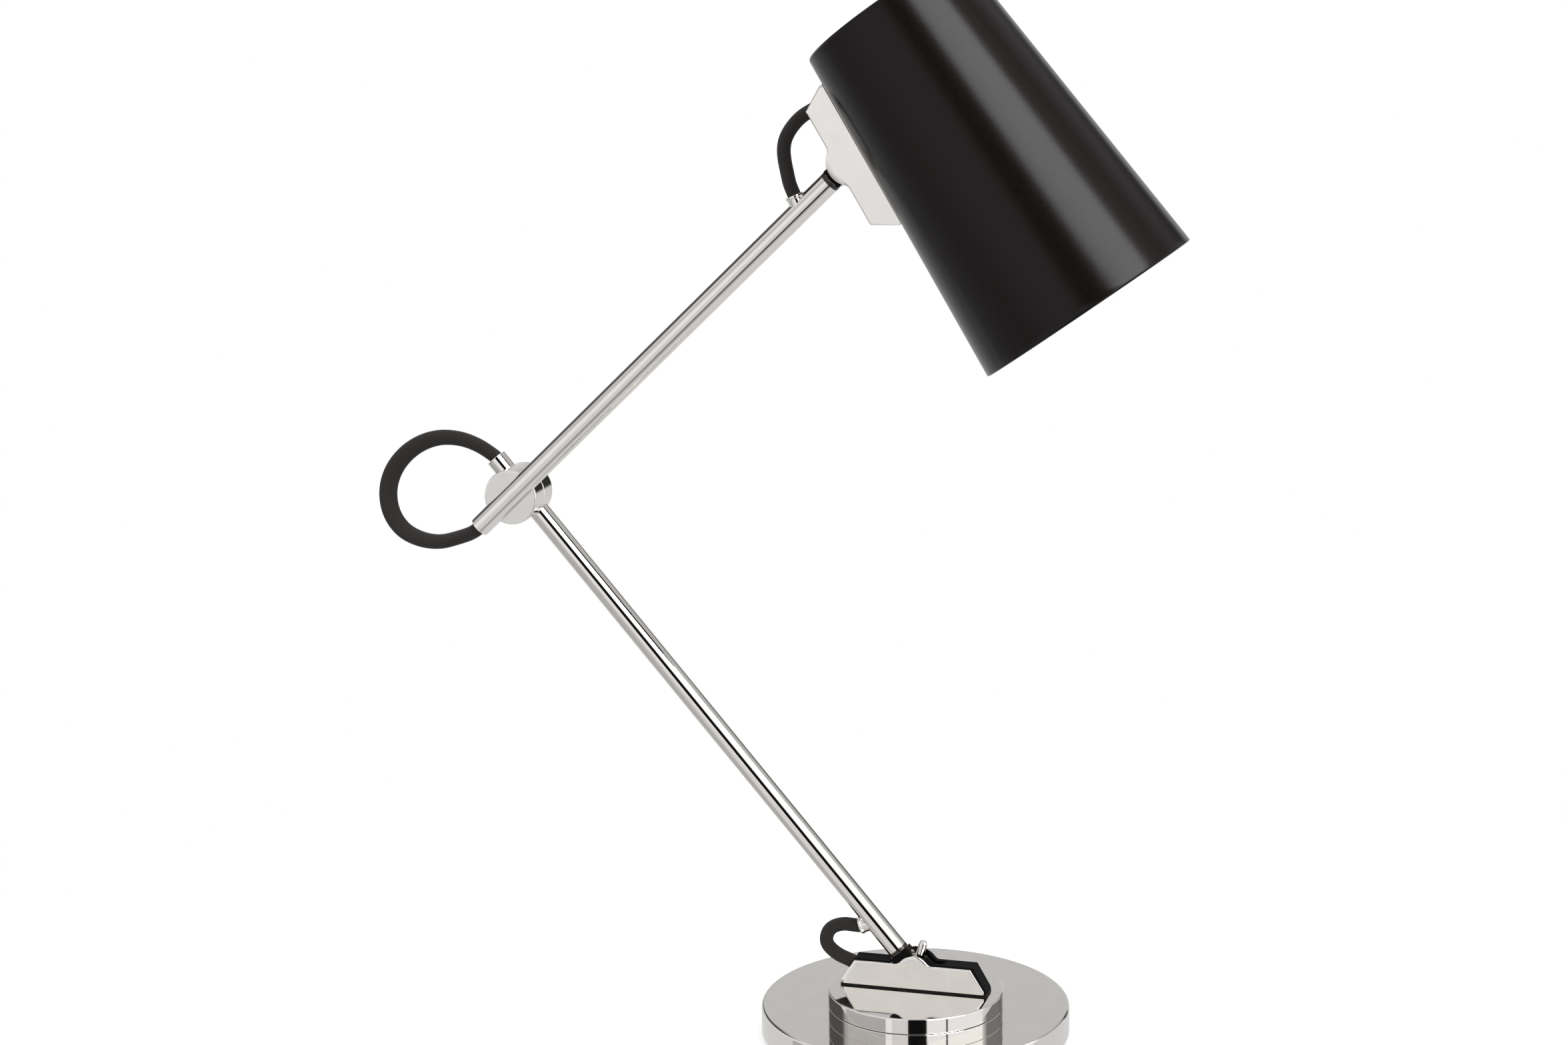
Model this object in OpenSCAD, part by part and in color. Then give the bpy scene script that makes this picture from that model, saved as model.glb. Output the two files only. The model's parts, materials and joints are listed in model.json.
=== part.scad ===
// Two-arm desk lamp: round weighted base, swivelling turret, two tubes that fold at a disc
// elbow, and a tapered shade on a tilting bracket. Millimetres. The origin is the middle of
// the base's underside; the arms lie in the plane of X and Z, and the shade is on the +X side.

/* [Base] */
// Radius of the round base
base_r = 90; // [82:0.5:110]
// Height of the base above its felt
base_h = 16; // [14:0.5:24]
// Thickness of the felt pad
felt_t = 1.4; // [1:0.1:2.5]
// How far the felt stays back from the base's edge
felt_inset = 1; // [0.5:0.1:1.8]
// Side wall of the base cover
cover_wall = 2; // [1.2:0.1:3]
// Top plate of the base cover
cover_top = 2.4; // [1.6:0.1:3]
// Rounding of the base's top edge
base_edge = 1.5; // [0.5:0.1:1.8]
// Number of screws that hold the weight in the cover
base_screws_n = 3; // [3:1:3]
// Distance of those screws from the base's middle
base_screw_ring = 72; // [66:0.5:76]
// Outer radius of the lead inlet grommet
inlet_r = 6; // [5:0.1:6.2]
// Radius of the hole in the grommet, for a round lead
inlet_hole_r = 3.5; // [2.5:0.1:3.6]

/* [Swivel] */
// Swivel axis, to the right of the base's middle
swivel_x = 6.5; // [0:0.5:10]
// Swivel axis, in front of the base's middle
swivel_y = -25; // [-28:0.5:-15]
// Radius of the two round plates that turn on each other
puck_r = 50.5; // [49:0.5:54]
// Thickness of each round plate
puck_h = 9; // [8.5:0.1:12]
// Gap between the two plates
swivel_gap = 0.4; // [0.3:0.05:0.8]
// Rounding of the plates' top edges
puck_edge = 0.7; // [0.3:0.1:1]
// Radius of the hollow swivel spindle
spindle_r = 8; // [7:0.1:9]
// Radius of the wire passage in the spindle
spindle_bore_r = 4.2; // [3.5:0.1:5]
// How far the base turns to each side
swivel_range = 170; // [90:1:170]

/* [Hinge brackets] */
// Length of a bracket
bracket_len = 86; // [84:0.5:92]
// Thickness of a bracket over both cheeks
bracket_t = 12.8; // [12.4:0.1:15]
// Height of a bracket's shoulders
shoulder_h = 15.4; // [15:0.1:17]
// Distance from one shoulder end to the other
shoulder_len = 70; // [68:0.5:74]
// Height of the upright lip under the sloped ends
lip_h = 1.5; // [1:0.1:2.5]
// Height of the hinge axis above the bracket's foot
hinge_h = 8.9; // [8.8:0.1:10]
// Radius of the round hump over the hinge
hump_r = 13; // [12.5:0.1:14]
// Radius of the hollow curves beside the hump
hump_fillet = 4.6; // [3:0.1:6]
// Thickness of the front cheek
front_cheek_t = 1.8; // [1.6:0.1:2.2]
// Thickness of the back cheek
back_cheek_t = 1.6; // [1.2:0.1:2]
// Bevel along the cheeks' outer edges
cheek_bevel = 1.1; // [0.4:0.1:1.2]
// How far the dark core stays below the cheeks' edge
core_recess = 0.4; // [0.2:0.1:0.8]
// Gasket between the lower bracket and the turning plate
gasket_t = 1.2; // [0.8:0.1:2]
// Saddle between the upper bracket and the shade, at its thinnest
saddle_t = 0.5; // [0.4:0.1:1]

/* [Hinges] */
// Radius of the hinge pins
pin_r = 2.5; // [2:0.1:2.8]
// Thickness of the flat tongue on a tube's end
tongue_t = 5; // [4.5:0.1:5.5]
// Radius of the tongue's round end
hub_r = 7.2; // [6.5:0.1:7.4]
// Length of the stop pin, from the hinge axis
stop_reach = 19.4; // [18.5:0.1:22]
// Angle from the lower tube to its stop pin
stop_angle = 55.7; // [50:0.1:60]
// Radius of the stop pin
stop_r = 2.5; // [2:0.1:2.5]

/* [Arms] */
// Outer diameter of the tubes
tube_d = 12; // [11.6:0.1:12.4]
// Wall of the tubes
tube_wall = 1; // [0.8:0.05:1.2]
// Distance from the lower hinge to the elbow
lower_len = 357.4; // [300:0.2:420]
// Direction of the lower tube, up from +X
lower_dir = 130.46; // [125:0.02:132]
// Distance from the elbow to the upper hinge
upper_len = 281.5; // [240:0.1:340]
// Direction of the upper tube, up from +X
upper_dir = 43.64; // [35:0.02:52]
// Distance from a hinge to the tube's end
tube_start = 14.4; // [14.2:0.1:19]
// Length of the lower tube beyond the elbow
lower_tail = 24.5; // [22:0.1:32]
// Length of the upper tube beyond the elbow
upper_tail = 25.6; // [22:0.1:32]
// Distance from the lower hinge to its cord boss
lower_boss_at = 36.8; // [36:0.1:44]
// Distance from the upper hinge to its cord boss
upper_boss_at = 39; // [36:0.1:44]
// Lean of the cord bosses towards the left
boss_lean = 20; // [10:1:25]
// Outer radius of the cord bosses
boss_r = 5.4; // [5:0.1:6]
// Height of the cord bosses above the tube's axis
boss_top = 9; // [8.8:0.1:12]

/* [Elbow] */
// Radius of the elbow discs
elbow_r = 15.8; // [15:0.1:18]
// Thickness of each elbow disc
elbow_t = 13.4; // [13.2:0.1:15]
// Thickness of the washer between the discs
elbow_gap = 0.4; // [0.3:0.05:1]
// How far the upper tube's axis stands out from the front disc
upper_proud = 1.3; // [0.8:0.1:2]
// Bevel along the discs' edges
elbow_bevel = 0.7; // [0.3:0.1:1]

/* [Shade] */
// Radius of the shade's mouth
mouth_r = 64.5; // [62:0.5:75]
// Radius of the shade's top
top_r = 48.8; // [46:0.2:56]
// Length of the shade along its axis
shade_len = 193.3; // [185:0.1:225]
// Sheet thickness of the shade
shade_wall = 1.2; // [1:0.1:1.6]
// Rounding of the shade's top edge
shade_edge = 1.6; // [1.2:0.1:2.5]
// Radius of the rolled hem at the mouth
hem_r = 1.1; // [0.8:0.1:1.4]
// Distance from the mouth to the bracket's middle, along the wall
bracket_up = 137.1; // [120:0.1:140]
// Direction of the shade's wall under the bracket, up from +X
wall_dir = 120.36; // [110:0.02:130]
// Number of vent holes in the shade's top
vents_n = 12; // [6:1:16]
// Radius of each vent hole
vent_r = 2.5; // [1.5:0.1:3]

/* [Lampholder and bulb] */
// Distance from the shade's top to the strap that holds the lampholder
strap_down = 19.3; // [18:0.1:24]
// Thickness of the strap
strap_t = 2; // [1.5:0.1:2.5]
// Width of the strap
strap_w = 18; // [14:0.5:20]
// Outer radius of the lampholder
holder_r = 20; // [18:0.1:21]
// Length of the lampholder's upper shell
holder_cap_h = 26; // [22:0.5:28]
// Length of the lampholder's lower shell
holder_skirt_h = 28; // [26:0.5:30]
// Radius of the bulb's screw cap
bulb_cap_r = 13.3; // [13:0.05:13.4]
// Length of the bulb's screw cap
bulb_cap_h = 26; // [24:0.5:27]
// Radius of the bulb's round end
bulb_r = 30; // [22:0.5:31]
// Length of the bulb's glass
bulb_len = 80; // [70:0.5:84]

/* [Cord] */
// Diameter of the braided cord
cord_d = 8; // [7:0.1:8.2]
// Sides of the cord's plain tube
cord_sides = 12; // [8:1:12]

/* [Hidden] */

$fn = 96;
over = 0.5;            // how far a cutter runs past a face
run_gap = 0.06;        // clearance of a turning fit, on the radius
thread_gap = 0.04;     // clearance of a screwed or pressed fit, on the radius
side_gap = 0.1;        // clearance between flat faces that slide
seat_gap = 0.3;        // clearance between curved faces that lie on each other
free_gap = 0.4;        // clearance round pieces that don't touch

// Heights from the floor up
cover_under = felt_t + base_h - cover_top;
base_top = felt_t + base_h;
lower_puck_top = base_top + puck_h;
upper_puck_z = lower_puck_top + swivel_gap;
upper_puck_top = upper_puck_z + puck_h;
bracket_z = upper_puck_top + gasket_t;

// Base details
cover_boss_r = 5.6;
screw_web = 5.2;       // from the felt up to the end of the cover's bosses
inlet_neck_r = inlet_r - 1.4;
inlet_z = felt_t + base_h / 2;
inlet_dir = atan2(-swivel_y, -swivel_x);
slot_w = 2 * inlet_r + 3;

// Swivel details
spring_t = 1.6;
nut_h = 5;
nut_r = 13;
nut_pocket_r = nut_r + 5;
spindle_seat = puck_h - 3;
swivel_washer_r = 40;
stop_ring = 44;        // radius of the swivel's stop groove
swivel_pin_r = 2;
groove_h = 3;
puck_screw_ring = 33;
puck_screw_bite = 5;

// Screws: shank radius, head radius and head height of each size
m4_r = 2;
m4_head_r = 3.8;
m4_head_h = 2.4;
m3_r = 1.5;
m3_head_r = 2.8;
m3_head_h = 1.8;
m4_bite = 8;           // how deep a bracket screw reaches into the core
foot_screw_x = 14;     // bracket screws, from the hinge
cheek_screw_x = 18.5;  // cheek screws, from the hinge
cheek_screw_z = 11;
blind = front_cheek_t - 0.6; // depth of the blind holes in the front cheek

// Bracket outline
half_len = bracket_len / 2;
half_sh = shoulder_len / 2;
core_t = bracket_t - front_cheek_t - back_cheek_t;
core_mid = (front_cheek_t - back_cheek_t) / 2; // the core's middle, back from the bracket's
slope_len = norm([half_len - half_sh, shoulder_h - lip_h]);
slope_n = [(shoulder_h - lip_h) / slope_len, (half_len - half_sh) / slope_len];
slope_at = slope_n * [half_len, lip_h];
fillet_z = shoulder_h + hump_fillet;
fillet_x = sqrt(pow(hump_r + hump_fillet, 2) - pow(fillet_z - hinge_h, 2));
pocket_r = hinge_h - 0.9;

// Hinges: angles are up from a bracket's own +X
tongue_w = tube_d;
plate_t = core_t / 2 - tongue_t / 2 - side_gap;
tilt_low = 132;        // steepest lean to the left in a bracket
tilt_high = 83.4;      // where the lower tube's stop pin ends its travel
head_low = 48;         // steepest lean of the upper tube the other way
plug_len = 12;
pin_head_r = 4.6;
pin_head_h = 2.2;
tail_w = 8;            // width of the tongue's tail inside its plug
stop_stud = 3.2;
stop_seat = hub_r - 0.3; // flat on the hub that the stop pin's collar lies on

// Arms
tube_r = tube_d / 2;
tube_in = tube_r - tube_wall;
hinge_y = swivel_y;
lower_hinge = [swivel_x, hinge_y, bracket_z + hinge_h];
elbow = lower_hinge + lower_len * [cos(lower_dir), 0, sin(lower_dir)];
back_disc_y = hinge_y + elbow_t / 2;
disc_split_y = hinge_y - elbow_t / 2;
front_disc_y = disc_split_y - elbow_gap;
upper_y = front_disc_y - elbow_t - upper_proud;
elbow_up = [elbow[0], upper_y, elbow[2]];
disc_back = upper_proud + elbow_t; // the front disc's back face, back from the tube's axis
upper_hinge = elbow_up + upper_len * [cos(upper_dir), 0, sin(upper_dir)];
elbow_screw_bite = 7;
elbow_head_r = 6.5;
elbow_head_h = 2.6;
tube_screw_at = 9;
wire_r = 1.05;
wire_off = tube_in - wire_r - 0.15;

// Cord seats
cord_r = cord_d / 2;
cord_hole_r = cord_r + 0.2;
wire_hole_r = 2.6;
seat_depth = 4;
cord_lead = 0.8;         // how far a cord runs straight out of its hole
slope_seat = 4.9;      // the cord's middle, down the slope from the shoulder
head_cord_x = 34.3;    // where the cord goes into the upper bracket's top
head_cord_z = 9;
bushing_len = 7;
bushing_back = 0.5;    // how far a bushing stays inside its tube
boss_seat = (tube_r + cord_r * sin(boss_lean) + side_gap) / cos(boss_lean); // floor of a boss's hole
boss_spigot_r = 3.4;
lower_boss_turn = 90 - boss_lean;  // from the tube's direction to the boss's
upper_boss_turn = -90 - boss_lean; // the same, seen from the upper hinge

// Shade
taper = atan((mouth_r - top_r) / shade_len);
wall_slant = shade_wall / cos(taper);
strap_z = shade_len - strap_down;
strap_wall_r = top_r + (strap_down - strap_t) * tan(taper) - wall_slant;
strap_sag = strap_wall_r - sqrt(pow(strap_wall_r, 2) - pow(strap_w / 2, 2));
leg_out = saddle_t + shade_wall + strap_sag + seat_gap; // the leg's outer face, below the bracket's foot
strap_in = leg_out + strap_t;                           // its inner face
nipple_r = 5;
nipple_bore_r = 3.2;
nipple_nut_h = 4;
nipple_nut_r = 8.5;
holder_wall = 2.5;
holder_neck_r = 11;
holder_neck_h = 6;
cap_end = strap_z - holder_cap_h;
skirt_end = cap_end - holder_skirt_h;
shell_wall = 0.6;
shell_play = 0.4;      // between the bulb's cap and the brass shell
skirt_floor = 6;
bulb_tip = cap_end - skirt_floor - 1;
bulb_tip_h = 2.5;
bulb_cap_top = bulb_tip - bulb_tip_h;
bulb_neck = bulb_cap_top - bulb_cap_h;
bulb_neck_r = bulb_cap_r + 0.9;
glass_t = 1;
bulb_mid = bulb_neck - bulb_len + bulb_r;
leg_below = 22;        // how far the strap's leg runs below the bracket's middle

// Colours
nickel = [0.80, 0.79, 0.77];
black = [0.07, 0.07, 0.07];
braid = [0.17, 0.16, 0.16];
steel = [0.60, 0.61, 0.62];
iron = [0.33, 0.33, 0.34];
brass = [0.80, 0.65, 0.35];

// Routes of the three cord loops, from the first seat to the last (x, y, z)
function arm_point(origin, dir, along, off) =
    origin + along * [cos(dir), 0, sin(dir)] + off * [-sin(dir), 0, cos(dir)];
lower_boss_dir = lower_dir + 90 - boss_lean;
upper_boss_dir = upper_dir + 90 - boss_lean;
slope_mid = [half_sh + slope_seat * slope_n[1], shoulder_h - slope_seat * slope_n[0]];
slope_seat_at = slope_mid - seat_depth * slope_n;
wire_x = -(slope_seat_at[0] - slope_seat_at[1] * slope_n[0] / slope_n[1] * 0.75);
base_loop_in = [swivel_x - slope_seat_at[0], hinge_y + core_mid, bracket_z + slope_seat_at[1]];
base_loop_dir = [slope_n[0], 0, -slope_n[1]];
head_up = wall_dir + 90;
head_foot = upper_hinge - hinge_h * [cos(head_up), 0, sin(head_up)] + [0, core_mid, 0];
base_loop_free = [ // the free points, from the base hinge
    [-37.3, 0, 24.6], [-41.6, 0, 24.7], [-45.9, 0, 23.8], [-49.4, 0, 22], [-51.8, 0, 19.2],
    [-53, 0, 14.6], [-52.1, 0, 11.2], [-49.5, 0.1, 8.3], [-45.5, 0.1, 5.6]
];
base_loop = [
    for (out = [boss_seat, boss_top + cord_lead])
        arm_point(arm_point(lower_hinge, lower_dir, lower_boss_at, 0), lower_boss_dir, out, 0),
    for (p = base_loop_free) lower_hinge + p,
    base_loop_in - (seat_depth + cord_lead) * base_loop_dir,
    base_loop_in
];
elbow_loop_free = [ // from the elbow's middle in the lower tube
    [-19.1, -0.1, 21.2], [-27.1, -0.3, 25.8], [-37.6, -1, 29.2], [-49.6, -3, 29.7],
    [-60.6, -5, 26.2], [-70.6, -7.2, 18.7], [-77.1, -9.6, 8.7], [-79.1, -12, -2.3],
    [-76.1, -14.6, -13.8], [-68.6, -17, -22.3], [-57.6, -19.2, -26.9], [-44.6, -20.9, -27.8],
    [-32.6, -21.6, -24.8], [-22.6, -21.8, -20.8]
];
elbow_loop = [
    for (out = [lower_tail - seat_depth - bushing_back, lower_tail + cord_lead]) arm_point(elbow, lower_dir, out, 0),
    for (p = elbow_loop_free) elbow + p,
    for (out = [upper_tail + cord_lead, upper_tail - seat_depth - bushing_back]) arm_point(elbow_up, upper_dir, -out, 0)
];
head_loop_free = [ // from the head's hinge
    [-34.3, 0, -12.6], [-35.9, 0, -5.6], [-37.1, 0, 0.9], [-37.4, 0, 6], [-36.7, 0.1, 10.6],
    [-34.6, 0.1, 15.2], [-31.3, 0.1, 19.7], [-27.4, 0.1, 23.5]
];
head_loop = [
    for (out = [boss_seat, boss_top + cord_lead])
        arm_point(arm_point(upper_hinge, upper_dir, -upper_boss_at, 0), upper_boss_dir, out, 0),
    for (p = head_loop_free) upper_hinge + p,
    arm_point(head_foot, wall_dir, head_cord_x, head_cord_z)
];

// ---- Shared shapes ----

// Round plate with its top edge rounded
module round_plate(r, h, edge) {
    rotate_extrude() {
        square([r - edge, h]);
        square([r, h - edge]);
        translate([r - edge, h - edge]) circle(r = edge);
    }
}

// Round plate with both edges bevelled
module bevel_disc(r, h, bevel) {
    rotate_extrude()
        polygon([[0, 0], [r - bevel, 0], [r, bevel], [r, h - bevel], [r - bevel, h], [0, h]]);
}

// Screw with a domed head; the shank runs along +Z from the head's underside at z = 0
module screw(r, length, head_r, head_h) {
    cylinder(r = r, h = length);
    mirror([0, 0, 1]) round_plate(head_r, head_h, head_h * 0.45);
}

// Puts what follows round the swivel axis at a number of even steps
module round_ring(n, ring, first = 0) {
    for (i = [0 : n - 1])
        rotate([0, 0, first + i * 360 / n]) translate([ring, 0, 0]) children();
}

module at_swivel(z) {
    translate([swivel_x, swivel_y, z]) children();
}

// A bracket's own frame: +X along it, +Z away from its foot, middle of the foot at 0
module at_base_bracket() {
    translate([swivel_x, hinge_y, bracket_z]) children();
}

module at_head_bracket() {
    translate(upper_hinge) rotate([0, -wall_dir, 0]) translate([0, 0, -hinge_h]) children();
}

// An arm's own frame: +X along the tube, from the hinge or from the elbow
module at_lower_arm() {
    translate(lower_hinge) rotate([0, -lower_dir, 0]) children();
}

module at_upper_arm() {
    translate(elbow_up) rotate([0, -upper_dir, 0]) children();
}

// The upper arm's frame, turned so that +X runs from the upper hinge back to the elbow
module at_upper_hinge() {
    translate(upper_hinge) rotate([0, -upper_dir - 180, 0]) children();
}

// The shade's own frame: +Z from the mouth to the top, on the axis; the bracket is at -X
module at_shade() {
    at_head_bracket()
        translate([mouth_r * sin(taper) - bracket_up, 0, -saddle_t - mouth_r * cos(taper)])
            rotate([0, 90 - taper, 0]) children();
}

// ---- Base ----

module base_cover() {
    boss_h = cover_under - felt_t - screw_web;
    color(nickel) {
        difference() {
            translate([0, 0, felt_t]) round_plate(base_r, base_h, base_edge);
            translate([0, 0, felt_t - over])
                cylinder(r = base_r - cover_wall, h = base_h - cover_top + over);
            at_swivel(cover_under - over) cylinder(r = spindle_r + run_gap, h = cover_top + 2 * over);
            at_swivel(cover_under - over)
                round_ring(3, puck_screw_ring, 30) cylinder(r = m4_r + thread_gap, h = cover_top + 2 * over);
            at_inlet(base_r - cover_wall - over) cylinder(r = inlet_neck_r + thread_gap, h = cover_wall + 2 * over);
        }
        round_ring(base_screws_n, base_screw_ring)
            translate([0, 0, cover_under - boss_h]) difference() {
                cylinder(r = cover_boss_r, h = boss_h + cover_top / 2);
                translate([0, 0, -over]) cylinder(r = m4_r + thread_gap, h = boss_h);
            }
    }
}

// A frame on the base's rim, behind the swivel: +Z outwards, from a distance off the middle
module at_inlet(out) {
    rotate([0, 0, inlet_dir]) translate([out, 0, inlet_z]) rotate([0, 90, 0]) children();
}

module felt_pad() {
    color(black) cylinder(r = base_r - felt_inset, h = felt_t);
}

module ballast_weight() {
    top_gap = cover_under - felt_t;
    color(iron) translate([0, 0, felt_t]) difference() {
        cylinder(r = base_r - cover_wall - free_gap, h = top_gap);
        translate([swivel_x, swivel_y, -over]) cylinder(r = nut_pocket_r, h = top_gap + 2 * over);
        rotate([0, 0, inlet_dir]) translate([0, -slot_w / 2, -over]) cube([base_r, slot_w, top_gap + 2 * over]);
        round_ring(base_screws_n, base_screw_ring) {
            translate([0, 0, screw_web - 0.2]) cylinder(r = cover_boss_r + free_gap, h = top_gap);
            translate([0, 0, -over]) cylinder(r = m4_r + 0.2, h = top_gap);
            translate([0, 0, -over]) cylinder(r = m4_head_r + free_gap, h = m4_head_h + 0.2 + over);
        }
        translate([swivel_x, swivel_y, top_gap - m4_head_h - free_gap])
            round_ring(3, puck_screw_ring, 30) cylinder(r = m4_head_r + free_gap, h = top_gap);
    }
}

module base_screws() {
    color(steel) round_ring(base_screws_n, base_screw_ring)
        translate([0, 0, felt_t + m4_head_h + 0.2])
            screw(m4_r, cover_under - felt_t - m4_head_h - 1.2, m4_head_r, m4_head_h);
}

module lead_inlet_grommet() {
    flange = 1.6;
    color(black) difference() {
        union() {
            at_inlet(base_r - cover_wall - flange) cylinder(r = inlet_neck_r + 0.8, h = flange);
            at_inlet(base_r - cover_wall - flange) cylinder(r = inlet_neck_r, h = cover_wall + 2 * flange);
            at_inlet(base_r) round_plate(inlet_r, flange, 0.7);
        }
        at_inlet(base_r - cover_wall - 2 * flange)
            cylinder(r = inlet_hole_r, h = cover_wall + 4 * flange);
        cover_skin();
    }
}

// The cover's curved side wall where the grommet's groove grips it
module cover_skin() {
    difference() {
        cylinder(r = base_r, h = base_top);
        translate([0, 0, -over]) cylinder(r = base_r - cover_wall, h = base_top + 2 * over);
        at_inlet(base_r - cover_wall - over) cylinder(r = inlet_neck_r, h = cover_wall + 2 * over);
    }
}

module lower_puck() {
    sweep = 2 * (swivel_range + asin((swivel_pin_r + 0.15) / stop_ring));
    color(nickel) at_swivel(base_top) difference() {
        round_plate(puck_r, puck_h, puck_edge);
        translate([0, 0, -over]) cylinder(r = spindle_r + run_gap, h = puck_h + 2 * over);
        translate([0, 0, -over]) round_ring(3, puck_screw_ring, 30)
            cylinder(r = m4_r + thread_gap, h = puck_screw_bite + over + 0.3);
        translate([0, 0, puck_h - groove_h]) rotate([0, 0, 90 - sweep / 2])
            rotate_extrude(angle = sweep)
                translate([stop_ring - swivel_pin_r - 0.3, 0]) square([2 * swivel_pin_r + 0.6, groove_h + over]);
    }
}

module puck_screws() {
    color(steel) at_swivel(cover_under) round_ring(3, puck_screw_ring, 30)
        screw(m4_r, cover_top + puck_screw_bite, m4_head_r, m4_head_h);
}

module swivel_washer() {
    color(black) at_swivel(lower_puck_top) difference() {
        cylinder(r = swivel_washer_r, h = swivel_gap);
        translate([0, 0, -over]) cylinder(r = spindle_r + 0.2, h = swivel_gap + 2 * over);
    }
}

// ---- Turret ----

module upper_puck() {
    slot_near = m4_head_r + 1.4;
    slot_far = slot_near + 4;
    color(nickel) at_swivel(upper_puck_z) difference() {
        round_plate(puck_r, puck_h, puck_edge);
        translate([0, 0, -over]) cylinder(r = spindle_r + thread_gap, h = spindle_seat + over);
        translate([wire_x - wire_hole_r, 0, -over]) cube([2 * wire_hole_r, slot_far, spindle_seat + over]);
        translate([wire_x, slot_near, -over]) cube([-wire_x, slot_far - slot_near, spindle_seat + over]);
        translate([wire_x, 0, -over]) cylinder(r = wire_hole_r, h = puck_h + 2 * over);
        translate([0, stop_ring, -over]) cylinder(r = swivel_pin_r + thread_gap, h = puck_h / 2 + over);
        for (side = [-1, 1]) translate([side * foot_screw_x, 0, -over]) {
            cylinder(r = m4_r + thread_gap, h = puck_h + 2 * over);
            cylinder(r = m4_head_r + 0.2, h = m4_head_h + side_gap + over);
        }
    }
}

module swivel_spindle() {
    top = spindle_seat + swivel_gap + puck_h + cover_top;
    below = spring_t + nut_h + 1.5;
    color(steel) at_swivel(cover_under - below) difference() {
        cylinder(r = spindle_r, h = top + below);
        translate([0, 0, -over]) cylinder(r = spindle_bore_r, h = top + below + 2 * over);
    }
}

module swivel_spring_washer() {
    color(steel) at_swivel(cover_under - spring_t) difference() {
        cylinder(r = nut_r, h = spring_t);
        translate([0, 0, -over]) cylinder(r = spindle_r + thread_gap, h = spring_t + 2 * over);
    }
}

module swivel_nut() {
    color(steel) at_swivel(cover_under - spring_t - nut_h) difference() {
        cylinder(r = nut_r, h = nut_h, $fn = 6);
        translate([0, 0, -over]) cylinder(r = spindle_r + thread_gap, h = nut_h + 2 * over);
    }
}

module swivel_stop_pin() {
    reach = swivel_gap + groove_h - 0.4;
    color(steel) at_swivel(upper_puck_z - reach) translate([0, stop_ring, 0])
        cylinder(r = swivel_pin_r, h = reach + puck_h / 2 - side_gap);
}

module base_bracket_gasket() {
    color(black) at_base_bracket() difference() {
        translate([-half_len, -bracket_t / 2, -gasket_t]) cube([bracket_len, bracket_t, gasket_t]);
        for (side = [-1, 1]) translate([side * foot_screw_x, 0, -gasket_t - over])
            cylinder(r = m4_r + thread_gap, h = gasket_t + 2 * over);
        translate([wire_x, 0, -gasket_t - over]) cylinder(r = wire_hole_r, h = gasket_t + 2 * over);
    }
}

// ---- Bracket pieces, in the bracket's own frame ----

// Where the slope, moved in by d, meets the line x = v or z = v
function slope_z(d, v) = (slope_at - d - slope_n[0] * v) / slope_n[1];
function slope_x(d, v) = (slope_at - d - slope_n[1] * v) / slope_n[0];

module bracket_body(d) {
    right = [[half_len - d, 0], [half_len - d, slope_z(d, half_len - d)],
             [slope_x(d, shoulder_h - d), shoulder_h - d]];
    polygon(concat(right, [for (i = [2 : -1 : 0]) [-right[i][0], right[i][1]]]));
}

// The stretch between the shoulders and the hump, before its hollow curves are cut
module hump_web() {
    share = hump_r / (hump_r + hump_fillet);
    top = [fillet_x * share, hinge_h + (fillet_z - hinge_h) * share];
    polygon([[-fillet_x, shoulder_h - 2], [fillet_x, shoulder_h - 2], top, [-top[0], top[1]]]);
}

// The whole outline, moved in by d
module bracket_outline(d) {
    bracket_body(d);
    difference() {
        translate([0, hinge_h]) circle(r = hump_r - d);
        translate([-hump_r, -2 * hump_r]) square([2 * hump_r, 2 * hump_r]);
    }
    difference() {
        hump_web();
        for (side = [-1, 1]) translate([side * fillet_x, fillet_z]) circle(r = hump_fillet + d);
    }
}

// Cuts a 45 degree bevel along the edge from p to q; the outside is on the left of p to q
module edge_cut(p, q, t, bevel) {
    translate([p[0], p[1], t - bevel]) rotate([0, 0, atan2(q[1] - p[1], q[0] - p[0])])
        rotate([45, 0, 0]) translate([-3 * bevel, 0, -2 * bevel])
            cube([norm(q - p) + 6 * bevel, 3 * bevel, 5 * bevel]);
}

// Bevelled cheek, lying flat: x along the bracket, y up from its foot, the bevel at z = t
module cheek_plate(t) {
    b = cheek_bevel;
    ends = [[half_len, 0], [half_len, lip_h], [half_sh, shoulder_h],
            [-half_sh, shoulder_h], [-half_len, lip_h], [-half_len, 0]];
    difference() {
        linear_extrude(t) bracket_body(0);
        for (i = [1 : len(ends) - 1]) edge_cut(ends[i], ends[i - 1], t, b);
    }
    difference() {
        translate([0, hinge_h, 0]) rotate_extrude()
            polygon([[0, 0], [hump_r, 0], [hump_r, t - b], [hump_r - b, t], [0, t]]);
        translate([-hump_r - over, -2 * hump_r, -over]) cube([2 * hump_r + 2 * over, 2 * hump_r, t + 2 * over]);
    }
    difference() {
        linear_extrude(t) hump_web();
        for (side = [-1, 1]) translate([side * fillet_x, fillet_z, 0]) rotate_extrude()
            polygon([[0, -over], [hump_fillet, -over], [hump_fillet, t - b],
                     [hump_fillet + b + over, t + over], [0, t + over]]);
    }
}

module front_cheek() {
    translate([0, -bracket_t / 2 + front_cheek_t, 0]) rotate([90, 0, 0]) difference() {
        cheek_plate(front_cheek_t);
        translate([0, hinge_h, -over]) cylinder(r = pin_r + thread_gap, h = blind + over);
        for (side = [-1, 1]) translate([side * cheek_screw_x, cheek_screw_z, -over])
            cylinder(r = m3_r + thread_gap, h = blind + over);
    }
}

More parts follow.
